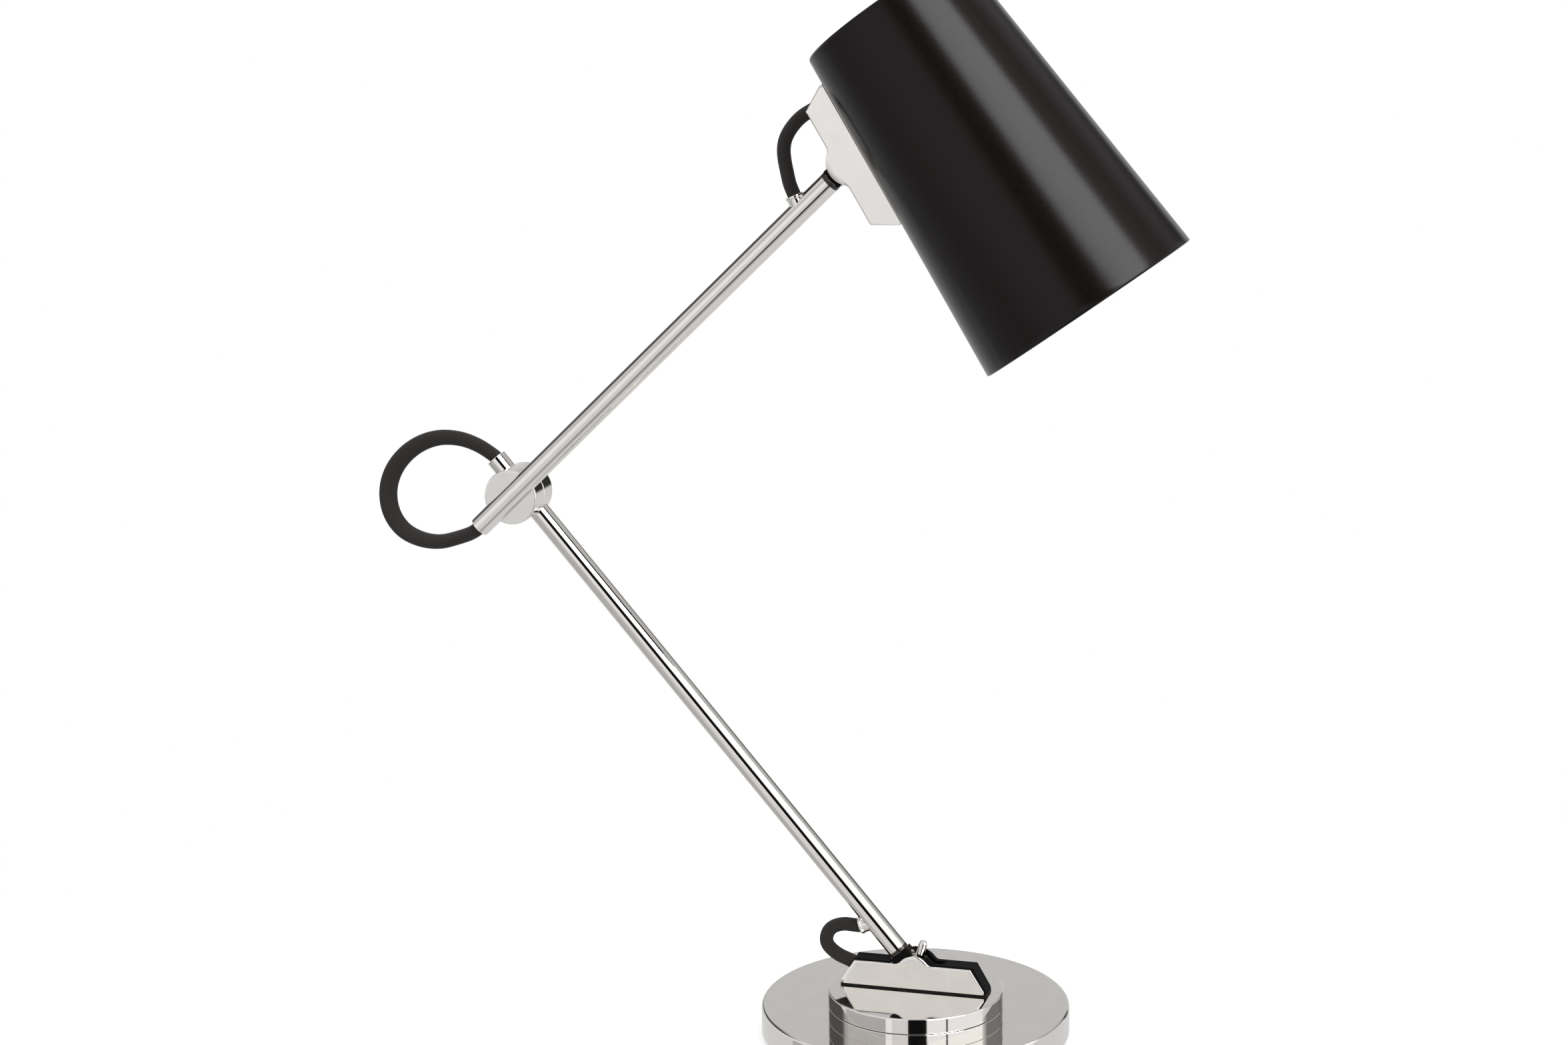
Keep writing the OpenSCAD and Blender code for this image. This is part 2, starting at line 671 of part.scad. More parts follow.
module back_cheek() {
    translate([0, bracket_t / 2 - back_cheek_t, 0]) mirror([0, 1, 0]) rotate([90, 0, 0]) difference() {
        cheek_plate(back_cheek_t);
        translate([0, hinge_h, -over]) cylinder(r = pin_r + thread_gap, h = back_cheek_t + 2 * over);
        for (side = [-1, 1]) translate([side * cheek_screw_x, cheek_screw_z, -over])
            cylinder(r = m3_r + thread_gap, h = back_cheek_t + 2 * over);
    }
}

// The room that a bar of half width w sweeps round the hinge between two angles
module sweep_room(from, to, w_from, w_to, r) {
    reach = 2 * hump_r;
    translate([0, hinge_h]) {
        circle(r = r);
        rotate([0, 0, from]) translate([0, -w_from]) square([reach, 2 * w_from]);
        rotate([0, 0, to]) translate([0, -w_to]) square([reach, 2 * w_to]);
        polygon([[0, 0], reach * [cos(from), sin(from)],
                 1.2 * reach * [cos((from + to) / 2), sin((from + to) / 2)], reach * [cos(to), sin(to)]]);
    }
}

// Dark core between the cheeks, with the hinge's room cut out; from and to are the tube's limits
module core_block(from, to) {
    translate([0, core_mid, 0]) difference() {
        translate([0, core_t / 2, 0]) rotate([90, 0, 0]) linear_extrude(core_t) difference() {
            bracket_outline(core_recess);
            sweep_room(from, to, tongue_w / 2 + free_gap, tongue_w / 2 + free_gap, pocket_r);
        }
        for (side = [-1, 1]) {
            translate([side * cheek_screw_x, core_t, cheek_screw_z]) rotate([90, 0, 0])
                cylinder(r = m3_r + thread_gap, h = 2 * core_t);
            translate([side * foot_screw_x, -core_mid, -over])
                cylinder(r = m4_r + thread_gap, h = m4_bite + over + 0.3);
        }
    }
}

module base_bracket_core() {
    stop_low = lower_dir - stop_angle - (lower_dir - tilt_high);
    color(black) at_base_bracket() difference() {
        core_block(tilt_high, tilt_low);
        translate([0, core_mid + tongue_t / 2 + side_gap, 0]) rotate([90, 0, 0])
            linear_extrude(tongue_t + 2 * side_gap)
                sweep_room(stop_low, tilt_high, stop_r + free_gap, stop_r, pocket_r);
        translate([-slope_mid[0], core_mid, slope_mid[1]])
            rotate([0, 90 + atan2(slope_n[1], slope_n[0]), 0]) {
                translate([0, 0, -seat_depth]) cylinder(r = cord_hole_r, h = 2 * seat_depth);
                cylinder(r = wire_hole_r, h = norm([slope_mid[0] + wire_x, slope_mid[1]]));
            }
        translate([wire_x, 0, -over]) cylinder(r = wire_hole_r, h = 2 * wire_hole_r);
    }
}

module foot_screws(below) {
    for (side = [-1, 1]) translate([side * foot_screw_x, 0, -below])
        screw(m4_r, below + m4_bite, m4_head_r, m4_head_h);
}

module cheek_screws() {
    length = back_cheek_t + core_t + blind - side_gap;
    for (side = [-1, 1]) translate([side * cheek_screw_x, bracket_t / 2, cheek_screw_z])
        rotate([90, 0, 0]) screw(m3_r, length, m3_head_r, m3_head_h);
}

module hinge_pin() {
    length = back_cheek_t + core_t + blind - side_gap;
    translate([0, bracket_t / 2, hinge_h]) rotate([90, 0, 0])
        screw(pin_r, length, pin_head_r, pin_head_h);
}

module base_bracket_front_cheek() {
    color(nickel) at_base_bracket() front_cheek();
}

module base_bracket_back_cheek() {
    color(nickel) at_base_bracket() back_cheek();
}

module base_bracket_screws() {
    color(steel) at_base_bracket() foot_screws(gasket_t + puck_h - m4_head_h - side_gap);
}

module base_cheek_screws() {
    color(nickel) at_base_bracket() cheek_screws();
}

module base_hinge_pin() {
    color(nickel) at_base_bracket() hinge_pin();
}

// ---- Hinge pieces on the tubes, in a frame with +X along the tube from the hinge ----

module hinge_tongue() {
    translate([0, core_mid, 0]) rotate([90, 0, 0]) translate([0, 0, -tongue_t / 2]) difference() {
        linear_extrude(tongue_t) {
            circle(r = hub_r);
            translate([0, -tongue_w / 2]) square([tube_start - side_gap, tongue_w]);
            translate([0, -tail_w / 2]) square([tube_start + plug_len - 1, tail_w]);
        }
        translate([0, 0, -over]) cylinder(r = pin_r + run_gap, h = tongue_t + 2 * over);
    }
}

module friction_plates() {
    for (side = [-1, 1])
        translate([0, core_mid + side * (tongue_t + plate_t) / 2, 0]) rotate([90, 0, 0])
            translate([0, 0, -plate_t / 2]) difference() {
                linear_extrude(plate_t) {
                    circle(r = hub_r + 0.4);
                    translate([0, -tongue_w / 2 + 0.2]) square([tube_start - 0.3, tongue_w - 0.4]);
                }
                translate([0, 0, -over]) cylinder(r = pin_r + run_gap, h = plate_t + 2 * over);
            }
}

module tube_plug() {
    difference() {
        translate([tube_start, 0, 0]) rotate([0, 90, 0]) cylinder(r = tube_in - thread_gap, h = plug_len);
        translate([tube_start - over, core_mid - tongue_t / 2, -tail_w / 2])
            cube([plug_len - 1 + over, tongue_t, tail_w]);
    }
}

// Ring where the cord goes into a tube; dir is the boss's direction from the tube's +X
module cord_boss(along, dir) {
    translate([along, 0, 0]) rotate([0, 90 - dir, 0]) difference() {
        union() {
            difference() {
                cylinder(r = boss_r, h = boss_top);
                rotate([0, dir - 90, 0]) rotate([0, 90, 0])
                    translate([0, 0, -4 * boss_r]) cylinder(r = tube_r + thread_gap, h = 8 * boss_r);
            }
            translate([0, 0, tube_in]) cylinder(r = boss_spigot_r, h = boss_seat - tube_in);
        }
        translate([0, 0, boss_seat]) cylinder(r = cord_hole_r, h = boss_top);
        cylinder(r = wire_hole_r, h = boss_top);
    }
}

// Hole in a tube's wall for the boss's spigot
module boss_hole(along, dir) {
    translate([along, 0, 0]) rotate([0, 90 - dir, 0])
        cylinder(r = boss_spigot_r + thread_gap, h = 2 * tube_r);
}

// Sleeve in a tube's open end; the cord rests on its floor
module tube_bushing() {
    rotate([0, 90, 0]) difference() {
        cylinder(r = tube_in - thread_gap, h = bushing_len);
        translate([0, 0, -over]) cylinder(r = wire_hole_r, h = bushing_len + 2 * over);
        translate([0, 0, bushing_len - seat_depth]) cylinder(r = cord_hole_r, h = bushing_len);
    }
}

// ---- Lower arm ----

module lower_hinge_tongue() {
    color(nickel) at_lower_arm() difference() {
        hinge_tongue();
        rotate([0, stop_angle, 0]) translate([0, core_mid, 0]) rotate([0, 90, 0])
            union() {
                translate([0, 0, hub_r - stop_stud]) cylinder(r = m3_r + thread_gap, h = 2 * stop_stud);
                translate([0, 0, stop_seat]) cylinder(r = stop_r + side_gap, h = stop_reach);
            }
    }
}

module lower_friction_plates() {
    color(black) at_lower_arm() friction_plates();
}

module lower_stop_pin() {
    color(nickel) at_lower_arm() rotate([0, stop_angle, 0]) translate([0, core_mid, 0])
        rotate([0, 90, 0]) {
            translate([0, 0, hub_r - stop_stud + 0.2]) cylinder(r = m3_r, h = stop_stud);
            translate([0, 0, stop_seat]) cylinder(r = stop_r, h = stop_reach - stop_seat - stop_r);
            translate([0, 0, stop_reach - stop_r]) sphere(r = stop_r);
        }
}

module lower_tube_plug() {
    color(black) at_lower_arm() tube_plug();
}

module lower_tube() {
    color(nickel) at_lower_arm() difference() {
        translate([tube_start, 0, 0]) rotate([0, 90, 0])
            cylinder(r = tube_r, h = lower_len + lower_tail - tube_start);
        translate([tube_start - over, 0, 0]) rotate([0, 90, 0])
            cylinder(r = tube_in, h = lower_len + lower_tail - tube_start + 2 * over);
        translate([lower_len, tube_d, 0]) rotate([90, 0, 0]) cylinder(r = pin_r + run_gap, h = 2 * tube_d);
        boss_hole(lower_boss_at, lower_boss_turn);
    }
}

module lower_cord_boss() {
    color(nickel) at_lower_arm() cord_boss(lower_boss_at, lower_boss_turn);
}

module lower_tube_bushing() {
    color(black) at_lower_arm() translate([lower_len + lower_tail - bushing_back - bushing_len, 0, 0])
        tube_bushing();
}

// Two insulated wires, which pass the elbow's screw one on each side
module wire_pair(from, to) {
    for (side = [-1, 1]) translate([from, 0, side * wire_off]) rotate([0, 90, 0])
        cylinder(r = wire_r, h = to - from, $fn = 24);
}

module lower_wires() {
    color(black) at_lower_arm()
        wire_pair(lower_boss_at + boss_r, lower_len + lower_tail - bushing_len - 2 * bushing_back);
}

module elbow_back_disc() {
    color(nickel) at_lower_arm() difference() {
        translate([lower_len, elbow_t / 2, 0]) rotate([90, 0, 0]) bevel_disc(elbow_r, elbow_t, elbow_bevel);
        rotate([0, 90, 0]) cylinder(r = tube_r + thread_gap, h = lower_len + 2 * elbow_r);
        translate([lower_len, elbow_t, 0]) rotate([90, 0, 0]) cylinder(r = pin_r + run_gap, h = 2 * elbow_t);
    }
}

module elbow_washer() {
    color(black) at_lower_arm() translate([lower_len, -elbow_t / 2, 0]) rotate([90, 0, 0]) difference() {
        cylinder(r = elbow_r - 1.4, h = elbow_gap);
        translate([0, 0, -over]) cylinder(r = pin_r + run_gap, h = elbow_gap + 2 * over);
    }
}

// ---- Upper arm ----

module elbow_front_disc() {
    color(nickel) at_upper_arm() difference() {
        translate([0, disc_back, 0]) rotate([90, 0, 0]) bevel_disc(elbow_r, elbow_t, elbow_bevel);
        translate([-2 * elbow_r, 0, 0]) rotate([0, 90, 0]) cylinder(r = tube_r + thread_gap, h = 4 * elbow_r);
        translate([0, disc_back + over, 0]) rotate([90, 0, 0])
            cylinder(r = pin_r + thread_gap, h = elbow_screw_bite + over + 0.4);
        for (side = [-1, 1]) translate([side * tube_screw_at, disc_back + over, 0]) rotate([90, 0, 0]) {
            cylinder(r = m3_r + thread_gap, h = elbow_t + 2 * over);
            cylinder(r = m3_head_r + 0.2, h = m3_head_h + side_gap + over);
        }
    }
}

module elbow_screw() {
    length = elbow_t + elbow_gap + elbow_screw_bite;
    color(nickel) at_upper_arm() translate([0, disc_back + elbow_gap + elbow_t + side_gap, 0])
        rotate([90, 0, 0]) screw(pin_r, length + side_gap, elbow_head_r, elbow_head_h);
}

module elbow_tube_screws() {
    color(steel) at_upper_arm() for (side = [-1, 1])
        translate([side * tube_screw_at, disc_back - m3_head_h - side_gap, 0]) rotate([90, 0, 0])
            screw(m3_r, disc_back - m3_head_h - side_gap - tube_in + 0.8, m3_head_r, m3_head_h);
}

module upper_tube() {
    length = upper_len + upper_tail - tube_start;
    color(nickel) difference() {
        at_upper_arm() translate([-upper_tail, 0, 0]) rotate([0, 90, 0]) difference() {
            cylinder(r = tube_r, h = length);
            translate([0, 0, -over]) cylinder(r = tube_in, h = length + 2 * over);
        }
        at_upper_arm() for (side = [-1, 1]) translate([side * tube_screw_at, tube_d, 0])
            rotate([90, 0, 0]) cylinder(r = m3_r + thread_gap, h = tube_d);
        at_upper_hinge() boss_hole(upper_boss_at, upper_boss_turn);
    }
}

module upper_tube_bushing() {
    color(black) at_upper_arm() translate([bushing_back + bushing_len - upper_tail, 0, 0])
        mirror([1, 0, 0]) tube_bushing();
}

module upper_cord_boss() {
    color(nickel) at_upper_hinge() cord_boss(upper_boss_at, upper_boss_turn);
}

module upper_tube_plug() {
    color(black) at_upper_hinge() tube_plug();
}

module upper_hinge_tongue() {
    color(nickel) at_upper_hinge() hinge_tongue();
}

module upper_friction_plates() {
    color(black) at_upper_hinge() friction_plates();
}

module upper_wires() {
    color(black) at_upper_hinge()
        wire_pair(upper_boss_at + boss_r, upper_len + upper_tail - bushing_len - 2 * bushing_back);
}

// ---- Head ----

module head_bracket_front_cheek() {
    color(nickel) at_head_bracket() front_cheek();
}

module head_bracket_back_cheek() {
    color(nickel) at_head_bracket() back_cheek();
}

module head_bracket_core() {
    color(black) at_head_bracket() difference() {
        core_block(head_low, tilt_low);
        translate([head_cord_x, core_mid, -over]) cylinder(r = wire_hole_r, h = shoulder_h);
        translate([head_cord_x, core_mid, head_cord_z]) cylinder(r = cord_hole_r, h = shoulder_h);
    }
}

module head_cheek_screws() {
    color(nickel) at_head_bracket() cheek_screws();
}

module head_hinge_pin() {
    color(nickel) at_head_bracket() hinge_pin();
}

module saddle_holes(below, up) {
    for (side = [-1, 1]) translate([side * foot_screw_x, 0, -below])
        cylinder(r = m4_r + thread_gap, h = below + up);
    translate([head_cord_x, core_mid, -below]) cylinder(r = wire_hole_r, h = below + up);
}

module head_bracket_saddle() {
    deep = saddle_t + 1;
    color(black) difference() {
        at_head_bracket() translate([-half_len, -bracket_t / 2, -deep]) cube([bracket_len, bracket_t, deep]);
        at_shade() cylinder(r1 = mouth_r + side_gap, r2 = top_r + side_gap, h = shade_len, $fn = 360);
        at_head_bracket() saddle_holes(deep + over, over);
    }
}

module head_bracket_screws() {
    color(steel) at_head_bracket() foot_screws(strap_in);
}

module shade() {
    inner_top = top_r - wall_slant + shade_wall * tan(taper);
    color(black) difference() {
        at_shade() difference() {
            rotate_extrude() difference() {
                union() {
                    intersection() {
                        polygon([[0, 0], [mouth_r, 0], [top_r, shade_len], [0, shade_len]]);
                        union() {
                            square([top_r - shade_edge, shade_len]);
                            square([mouth_r, shade_len - shade_edge]);
                            translate([top_r - shade_edge + shade_edge * tan(taper), shade_len - shade_edge])
                                circle(r = shade_edge);
                        }
                    }
                    translate([mouth_r - hem_r - 0.05, hem_r]) circle(r = hem_r);
                }
                difference() {
                    polygon([[0, -over], [mouth_r - wall_slant + over * tan(taper), -over],
                             [inner_top, shade_len - shade_wall], [0, shade_len - shade_wall]]);
                    translate([mouth_r - hem_r - 0.05, hem_r]) circle(r = hem_r);
                }
            }
            translate([0, 0, shade_len - 2 * shade_wall]) round_ring(vents_n, top_r * 0.55)
                cylinder(r = vent_r, h = 3 * shade_wall);
        }
        at_head_bracket() saddle_holes(strap_in, over);
    }
}

// A point (x, z) in the shade's frame, from its way up the wall and its depth below the bracket's foot
function wall_point(up, depth) =
    [up * sin(taper) - mouth_r + (depth - saddle_t) * cos(taper), up * cos(taper) - (depth - saddle_t) * sin(taper)];
function wall_up(z, depth) = (z + (depth - saddle_t) * sin(taper)) / cos(taper);

module socket_strap() {
    outer = [wall_point(bracket_up - leg_below, leg_out), wall_point(wall_up(strap_z + strap_t, leg_out), leg_out)];
    inner = [wall_point(wall_up(strap_z, strap_in), strap_in), wall_point(bracket_up - leg_below, strap_in)];
    color(steel) difference() {
        at_shade() {
            translate([0, strap_w / 2, 0]) rotate([90, 0, 0]) linear_extrude(strap_w)
                polygon(concat(outer, [[0, strap_z + strap_t], [0, strap_z]], inner));
            translate([0, 0, strap_z]) cylinder(r = holder_r - 2, h = strap_t);
        }
        at_head_bracket() saddle_holes(strap_in + over, over);
        at_shade() translate([0, 0, strap_z - over])
            cylinder(r = nipple_r + thread_gap, h = strap_t + 2 * over);
    }
}

module holder_nipple() {
    below = 8;
    top = strap_t + nipple_nut_h + 1.5;
    color(steel) at_shade() translate([0, 0, strap_z - below]) difference() {
        cylinder(r = nipple_r, h = below + top);
        translate([0, 0, -over]) cylinder(r = nipple_bore_r, h = below + top + 2 * over);
    }
}

module nipple_nut() {
    color(steel) at_shade() translate([0, 0, strap_z + strap_t]) difference() {
        cylinder(r = nipple_nut_r, h = nipple_nut_h, $fn = 6);
        translate([0, 0, -over]) cylinder(r = nipple_r + thread_gap, h = nipple_nut_h + 2 * over);
    }
}

module lampholder_cap() {
    neck_z = holder_cap_h - holder_neck_h;
    color(black) at_shade() translate([0, 0, cap_end]) rotate_extrude() difference() {
        polygon([[0, 0], [holder_r, 0], [holder_r, neck_z - 2], [holder_r - 1, neck_z],
                 [holder_neck_r, holder_cap_h], [0, holder_cap_h]]);
        translate([0, -over]) square([holder_r - holder_wall, neck_z - holder_wall + over]);
        square([nipple_r + thread_gap, holder_cap_h + over]);
    }
}

module lampholder_skirt() {
    cavity_r = bulb_cap_r + shell_play + shell_wall;
    color(black) at_shade() translate([0, 0, skirt_end]) rotate_extrude() difference() {
        polygon([[0, 0], [holder_r - 0.8, 0], [holder_r + 0.5, 1.3], [holder_r + 0.5, holder_skirt_h - 1],
                 [holder_r, holder_skirt_h], [0, holder_skirt_h]]);
        translate([0, -over]) square([cavity_r, holder_skirt_h - skirt_floor + over]);
        square([wire_hole_r, holder_skirt_h + over]);
    }
}

module lampholder_shell() {
    length = holder_skirt_h - skirt_floor - 1;
    color(brass) at_shade() translate([0, 0, skirt_end + 1]) difference() {
        cylinder(r = bulb_cap_r + shell_play + shell_wall - thread_gap, h = length);
        translate([0, 0, -over]) cylinder(r = bulb_cap_r + shell_play, h = length - shell_wall + over);
        translate([0, 0, -over]) cylinder(r = bulb_cap_r - 3, h = length + 2 * over);
    }
}

module bulb_cap() {
    color(steel) at_shade() {
        translate([0, 0, bulb_neck]) cylinder(r = bulb_cap_r, h = bulb_cap_h - 3);
        translate([0, 0, bulb_cap_top - 3]) cylinder(r1 = bulb_cap_r, r2 = 6, h = 3);
        translate([0, 0, bulb_cap_top]) cylinder(r1 = 6, r2 = 4.5, h = bulb_tip_h + 1);
    }
}

// Outline of the bulb's glass, moved in by d
module bulb_outline(d) {
    up = bulb_neck - bulb_mid;
    lean = asin((bulb_r - bulb_neck_r) / up * 0.9);
    touch = (bulb_r - d) * [cos(lean), sin(lean)];
    intersection() {
        union() {
            translate([0, bulb_mid]) circle(r = bulb_r - d);
            polygon([[0, bulb_mid], [touch[0], bulb_mid + touch[1]],
                     [bulb_neck_r - d, bulb_neck - 6], [bulb_neck_r - d, bulb_neck + d], [0, bulb_neck + d]]);
        }
        translate([0, bulb_mid - bulb_r]) square([bulb_r, bulb_len + 2 * bulb_r]);
    }
}

module bulb_glass() {
    color([0.93, 0.93, 0.9]) at_shade() rotate_extrude() difference() {
        bulb_outline(0);
        bulb_outline(glass_t);
    }
}

// ---- Cord loops ----

function unit(v) = v / norm(v);
function ring_dir(p, i, first, last) =
    i == 0 ? first : i == len(p) - 1 ? last : unit(unit(p[i + 1] - p[i]) + unit(p[i] - p[i - 1]));

// Tube round a list of points; first and last are its directions at the two ends
module cord_tube(p, first, last) {
    n = len(p);
    s = cord_sides;
    points = [for (i = [0 : n - 1])
        let (t = ring_dir(p, i, first, last), u = unit(cross(t, [0, 1, 0])), v = cross(t, u))
            for (j = [0 : s - 1]) p[i] + cord_r * (cos(360 * j / s) * u + sin(360 * j / s) * v)];
    sides = [for (i = [0 : n - 2]) for (j = [0 : s - 1])
        let (a = i * s + j, b = i * s + (j + 1) % s) each [[a, b, a + s], [b, b + s, a + s]]];
    caps = [for (j = [1 : s - 2]) each [[0, j + 1, j], [(n - 1) * s, (n - 1) * s + j, (n - 1) * s + j + 1]]];
    polyhedron(points, concat(sides, caps));
}

module base_cord_loop() {
    color(braid) cord_tube(base_loop, [cos(lower_boss_dir), 0, sin(lower_boss_dir)], base_loop_dir);
}

module elbow_cord_loop() {
    color(braid) cord_tube(elbow_loop, [cos(lower_dir), 0, sin(lower_dir)], [cos(upper_dir), 0, sin(upper_dir)]);
}

module head_cord_loop() {
    color(braid) cord_tube(head_loop, [cos(upper_boss_dir), 0, sin(upper_boss_dir)],
                           [-cos(head_up), 0, -sin(head_up)]);
}

felt_pad();
ballast_weight();
base_cover();
base_screws();
lead_inlet_grommet();
lower_puck();
puck_screws();
swivel_washer();
upper_puck();
swivel_spindle();
swivel_spring_washer();
swivel_nut();
swivel_stop_pin();
base_bracket_gasket();
base_bracket_front_cheek();
base_bracket_back_cheek();
base_bracket_core();
base_bracket_screws();
base_cheek_screws();
base_hinge_pin();
lower_hinge_tongue();
lower_friction_plates();
lower_stop_pin();
lower_tube_plug();
lower_tube();
lower_cord_boss();
lower_tube_bushing();
lower_wires();
elbow_back_disc();
elbow_washer();
elbow_front_disc();
elbow_screw();
elbow_tube_screws();
upper_tube();
upper_tube_bushing();
upper_cord_boss();
upper_tube_plug();
upper_hinge_tongue();
upper_friction_plates();
upper_wires();
head_bracket_front_cheek();
head_bracket_back_cheek();
head_bracket_core();
head_cheek_screws();
head_hinge_pin();
head_bracket_saddle();
head_bracket_screws();
shade();
socket_strap();
holder_nipple();
nipple_nut();
lampholder_cap();
lampholder_skirt();
lampholder_shell();
bulb_cap();
bulb_glass();
base_cord_loop();
elbow_cord_loop();
head_cord_loop();
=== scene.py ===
"""Two-arm desk lamp in polished nickel with a satin black shade, dressed around its CAD frame."""
import json
import math

import bmesh
import bpy
from mathutils import Matrix, Vector


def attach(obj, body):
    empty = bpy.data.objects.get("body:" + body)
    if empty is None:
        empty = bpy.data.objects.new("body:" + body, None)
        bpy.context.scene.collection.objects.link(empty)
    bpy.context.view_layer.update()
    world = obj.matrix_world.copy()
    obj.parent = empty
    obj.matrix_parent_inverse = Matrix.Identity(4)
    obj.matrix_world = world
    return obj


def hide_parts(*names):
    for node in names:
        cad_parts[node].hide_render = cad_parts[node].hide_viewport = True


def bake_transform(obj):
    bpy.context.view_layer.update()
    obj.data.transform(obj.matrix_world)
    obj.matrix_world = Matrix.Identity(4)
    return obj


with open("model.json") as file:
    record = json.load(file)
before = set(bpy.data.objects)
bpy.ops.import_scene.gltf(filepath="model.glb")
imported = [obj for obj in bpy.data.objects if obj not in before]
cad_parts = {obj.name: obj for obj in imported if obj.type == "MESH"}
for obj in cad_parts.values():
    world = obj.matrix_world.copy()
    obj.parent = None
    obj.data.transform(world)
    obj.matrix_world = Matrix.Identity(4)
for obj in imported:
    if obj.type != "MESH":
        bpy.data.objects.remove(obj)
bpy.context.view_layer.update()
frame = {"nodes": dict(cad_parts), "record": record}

MM = 0.001


def sin(a):
    return math.sin(math.radians(a))


def cos(a):
    return math.cos(math.radians(a))


def turn_y(a):
    return Matrix.Rotation(math.radians(a), 4, "Y")


def shift(x, y, z):
    return Matrix.Translation((x, y, z))


# ---- Camera ----

cam_data = bpy.data.cameras.new("camera")
cam_data.sensor_fit = "HORIZONTAL"
cam_data.sensor_width = 36.0
cam_data.lens = 68.94
cam_data.clip_start = 0.05
cam_data.clip_end = 60.0
camera = bpy.data.objects.new("camera", cam_data)
bpy.context.scene.collection.objects.link(camera)
YAW, PITCH, ROLL = 16.43, 12.21, -0.84
look = Vector((-sin(YAW) * cos(PITCH), cos(YAW) * cos(PITCH), -sin(PITCH)))
right = Vector((cos(YAW), sin(YAW), 0.0))
up = right.cross(look)
cam_x = right * cos(ROLL) + up * sin(ROLL)
cam_y = up * cos(ROLL) - right * sin(ROLL)
camera.matrix_world = Matrix.Translation((0.3997, -1.6128, 0.6645)) @ Matrix(
    (cam_x, cam_y, -look)).transposed().to_4x4()
bpy.context.scene.camera = camera
bpy.context.scene.view_settings.view_transform = "Standard"

# ---- Sizes, in millimetres, as in the part's source ----

SWIVEL = Vector((6.5, -25.0, 0.0))
BASE_R, BASE_Z, BASE_TOP = 90.0, 1.4, 17.4
PUCK_R, PUCK_H, PUCK_GAP = 50.5, 9.0, 0.4
HINGE_H, FOOT_Z = 8.9, 37.0                 # hinge above its bracket's foot; that foot above the table
HALF_LEN, HALF_SH, SHOULDER, LIP = 43.0, 35.0, 15.4, 1.5
HUMP_R, HUMP_FILLET = 13.0, 4.6
BRACKET_T, FRONT_T, BACK_T = 12.8, 1.8, 1.6
CORE_MID = 0.1                              # the core's middle, between cheeks of two thicknesses
CHEEK_SCREW_X, CHEEK_SCREW_Z = 18.5, 11.0
LOWER_DIR, UPPER_DIR, WALL_DIR = 130.46, 43.64, 120.36
LOWER_LEN, UPPER_LEN = 357.4, 281.5
TUBE_R, TUBE_IN = 6.0, 5.0
TUBE_START, LOWER_TAIL, UPPER_TAIL = 14.4, 24.5, 25.6
ELBOW_R, ELBOW_T, ELBOW_GAP, UPPER_PROUD = 15.8, 13.4, 0.4, 1.3
BOSS_AT_LOWER, BOSS_AT_UPPER, BOSS_LEAN, BOSS_TOP = 36.8, 39.0, 20.0, 9.0
STOP_REACH = 19.4
MOUTH_R, TOP_R, SHADE_LEN, SHADE_WALL = 64.5, 48.8, 193.3, 1.2
BRACKET_UP, SADDLE_T = 137.1, 0.5
HEM_R = 1.1
CORD_R = 4.0
STOP_TURN, STOP_R, STOP_FOOT = 55.7, 2.5, 6.9

# Hinge of the lower arm, elbow in each arm's plane and hinge of the head
H = Vector((6.5, -25.0, 45.9))
E = H + LOWER_LEN * Vector((cos(LOWER_DIR), 0, sin(LOWER_DIR)))
E_UP = Vector((E.x, -25.0 - ELBOW_T / 2 - ELBOW_GAP - ELBOW_T - UPPER_PROUD, E.z))
W = E_UP + UPPER_LEN * Vector((cos(UPPER_DIR), 0, sin(UPPER_DIR)))
TAPER = math.degrees(math.atan((MOUTH_R - TOP_R) / SHADE_LEN))

AT_SWIVEL = Matrix.Translation(SWIVEL)
AT_BASE_BRACKET = shift(H.x, H.y, FOOT_Z)
AT_HEAD_BRACKET = Matrix.Translation(W) @ turn_y(-WALL_DIR) @ shift(0, 0, -HINGE_H)
AT_LOWER = Matrix.Translation(H) @ turn_y(-LOWER_DIR)
AT_UPPER = Matrix.Translation(E_UP) @ turn_y(-UPPER_DIR)
AT_UPPER_HINGE = Matrix.Translation(W) @ turn_y(-UPPER_DIR - 180)
AT_SHADE = (AT_HEAD_BRACKET
            @ shift(MOUTH_R * sin(TAPER) - BRACKET_UP, 0, -SADDLE_T - MOUTH_R * cos(TAPER))
            @ turn_y(90 - TAPER))
ALONG_X = turn_y(90)
TO_FRONT = Matrix.Rotation(math.radians(90), 4, "X")    # +Z becomes -Y
TO_BACK = Matrix.Rotation(math.radians(-90), 4, "X")    # +Z becomes +Y


# ---- Materials ----

def new_material(name):
    mat = bpy.data.materials.new(name)
    mat.use_nodes = True
    nodes = mat.node_tree.nodes
    nodes.clear()
    out = nodes.new("ShaderNodeOutputMaterial")
    shader = nodes.new("ShaderNodeBsdfPrincipled")
    mat.node_tree.links.new(shader.outputs[0], out.inputs[0])
    return mat, shader


def node(mat, kind, **props):
    n = mat.node_tree.nodes.new(kind)
    for key, value in props.items():
        setattr(n, key, value)
    return n


def link(mat, a, b):
    mat.node_tree.links.new(a, b)


def noise_of(mat, scale, detail=3.0, stretch=None):
    """Noise in object coordinates, whose unit is a metre."""
    where = node(mat, "ShaderNodeTexCoord")
    socket = where.outputs["Object"]
    if stretch:
        mapping = node(mat, "ShaderNodeMapping")
        mapping.inputs["Scale"].default_value = stretch
        link(mat, socket, mapping.inputs[0])
        socket = mapping.outputs[0]
    n = node(mat, "ShaderNodeTexNoise")
    n.inputs["Scale"].default_value = scale
    n.inputs["Detail"].default_value = detail
    link(mat, socket, n.inputs["Vector"])
    return n.outputs[0]


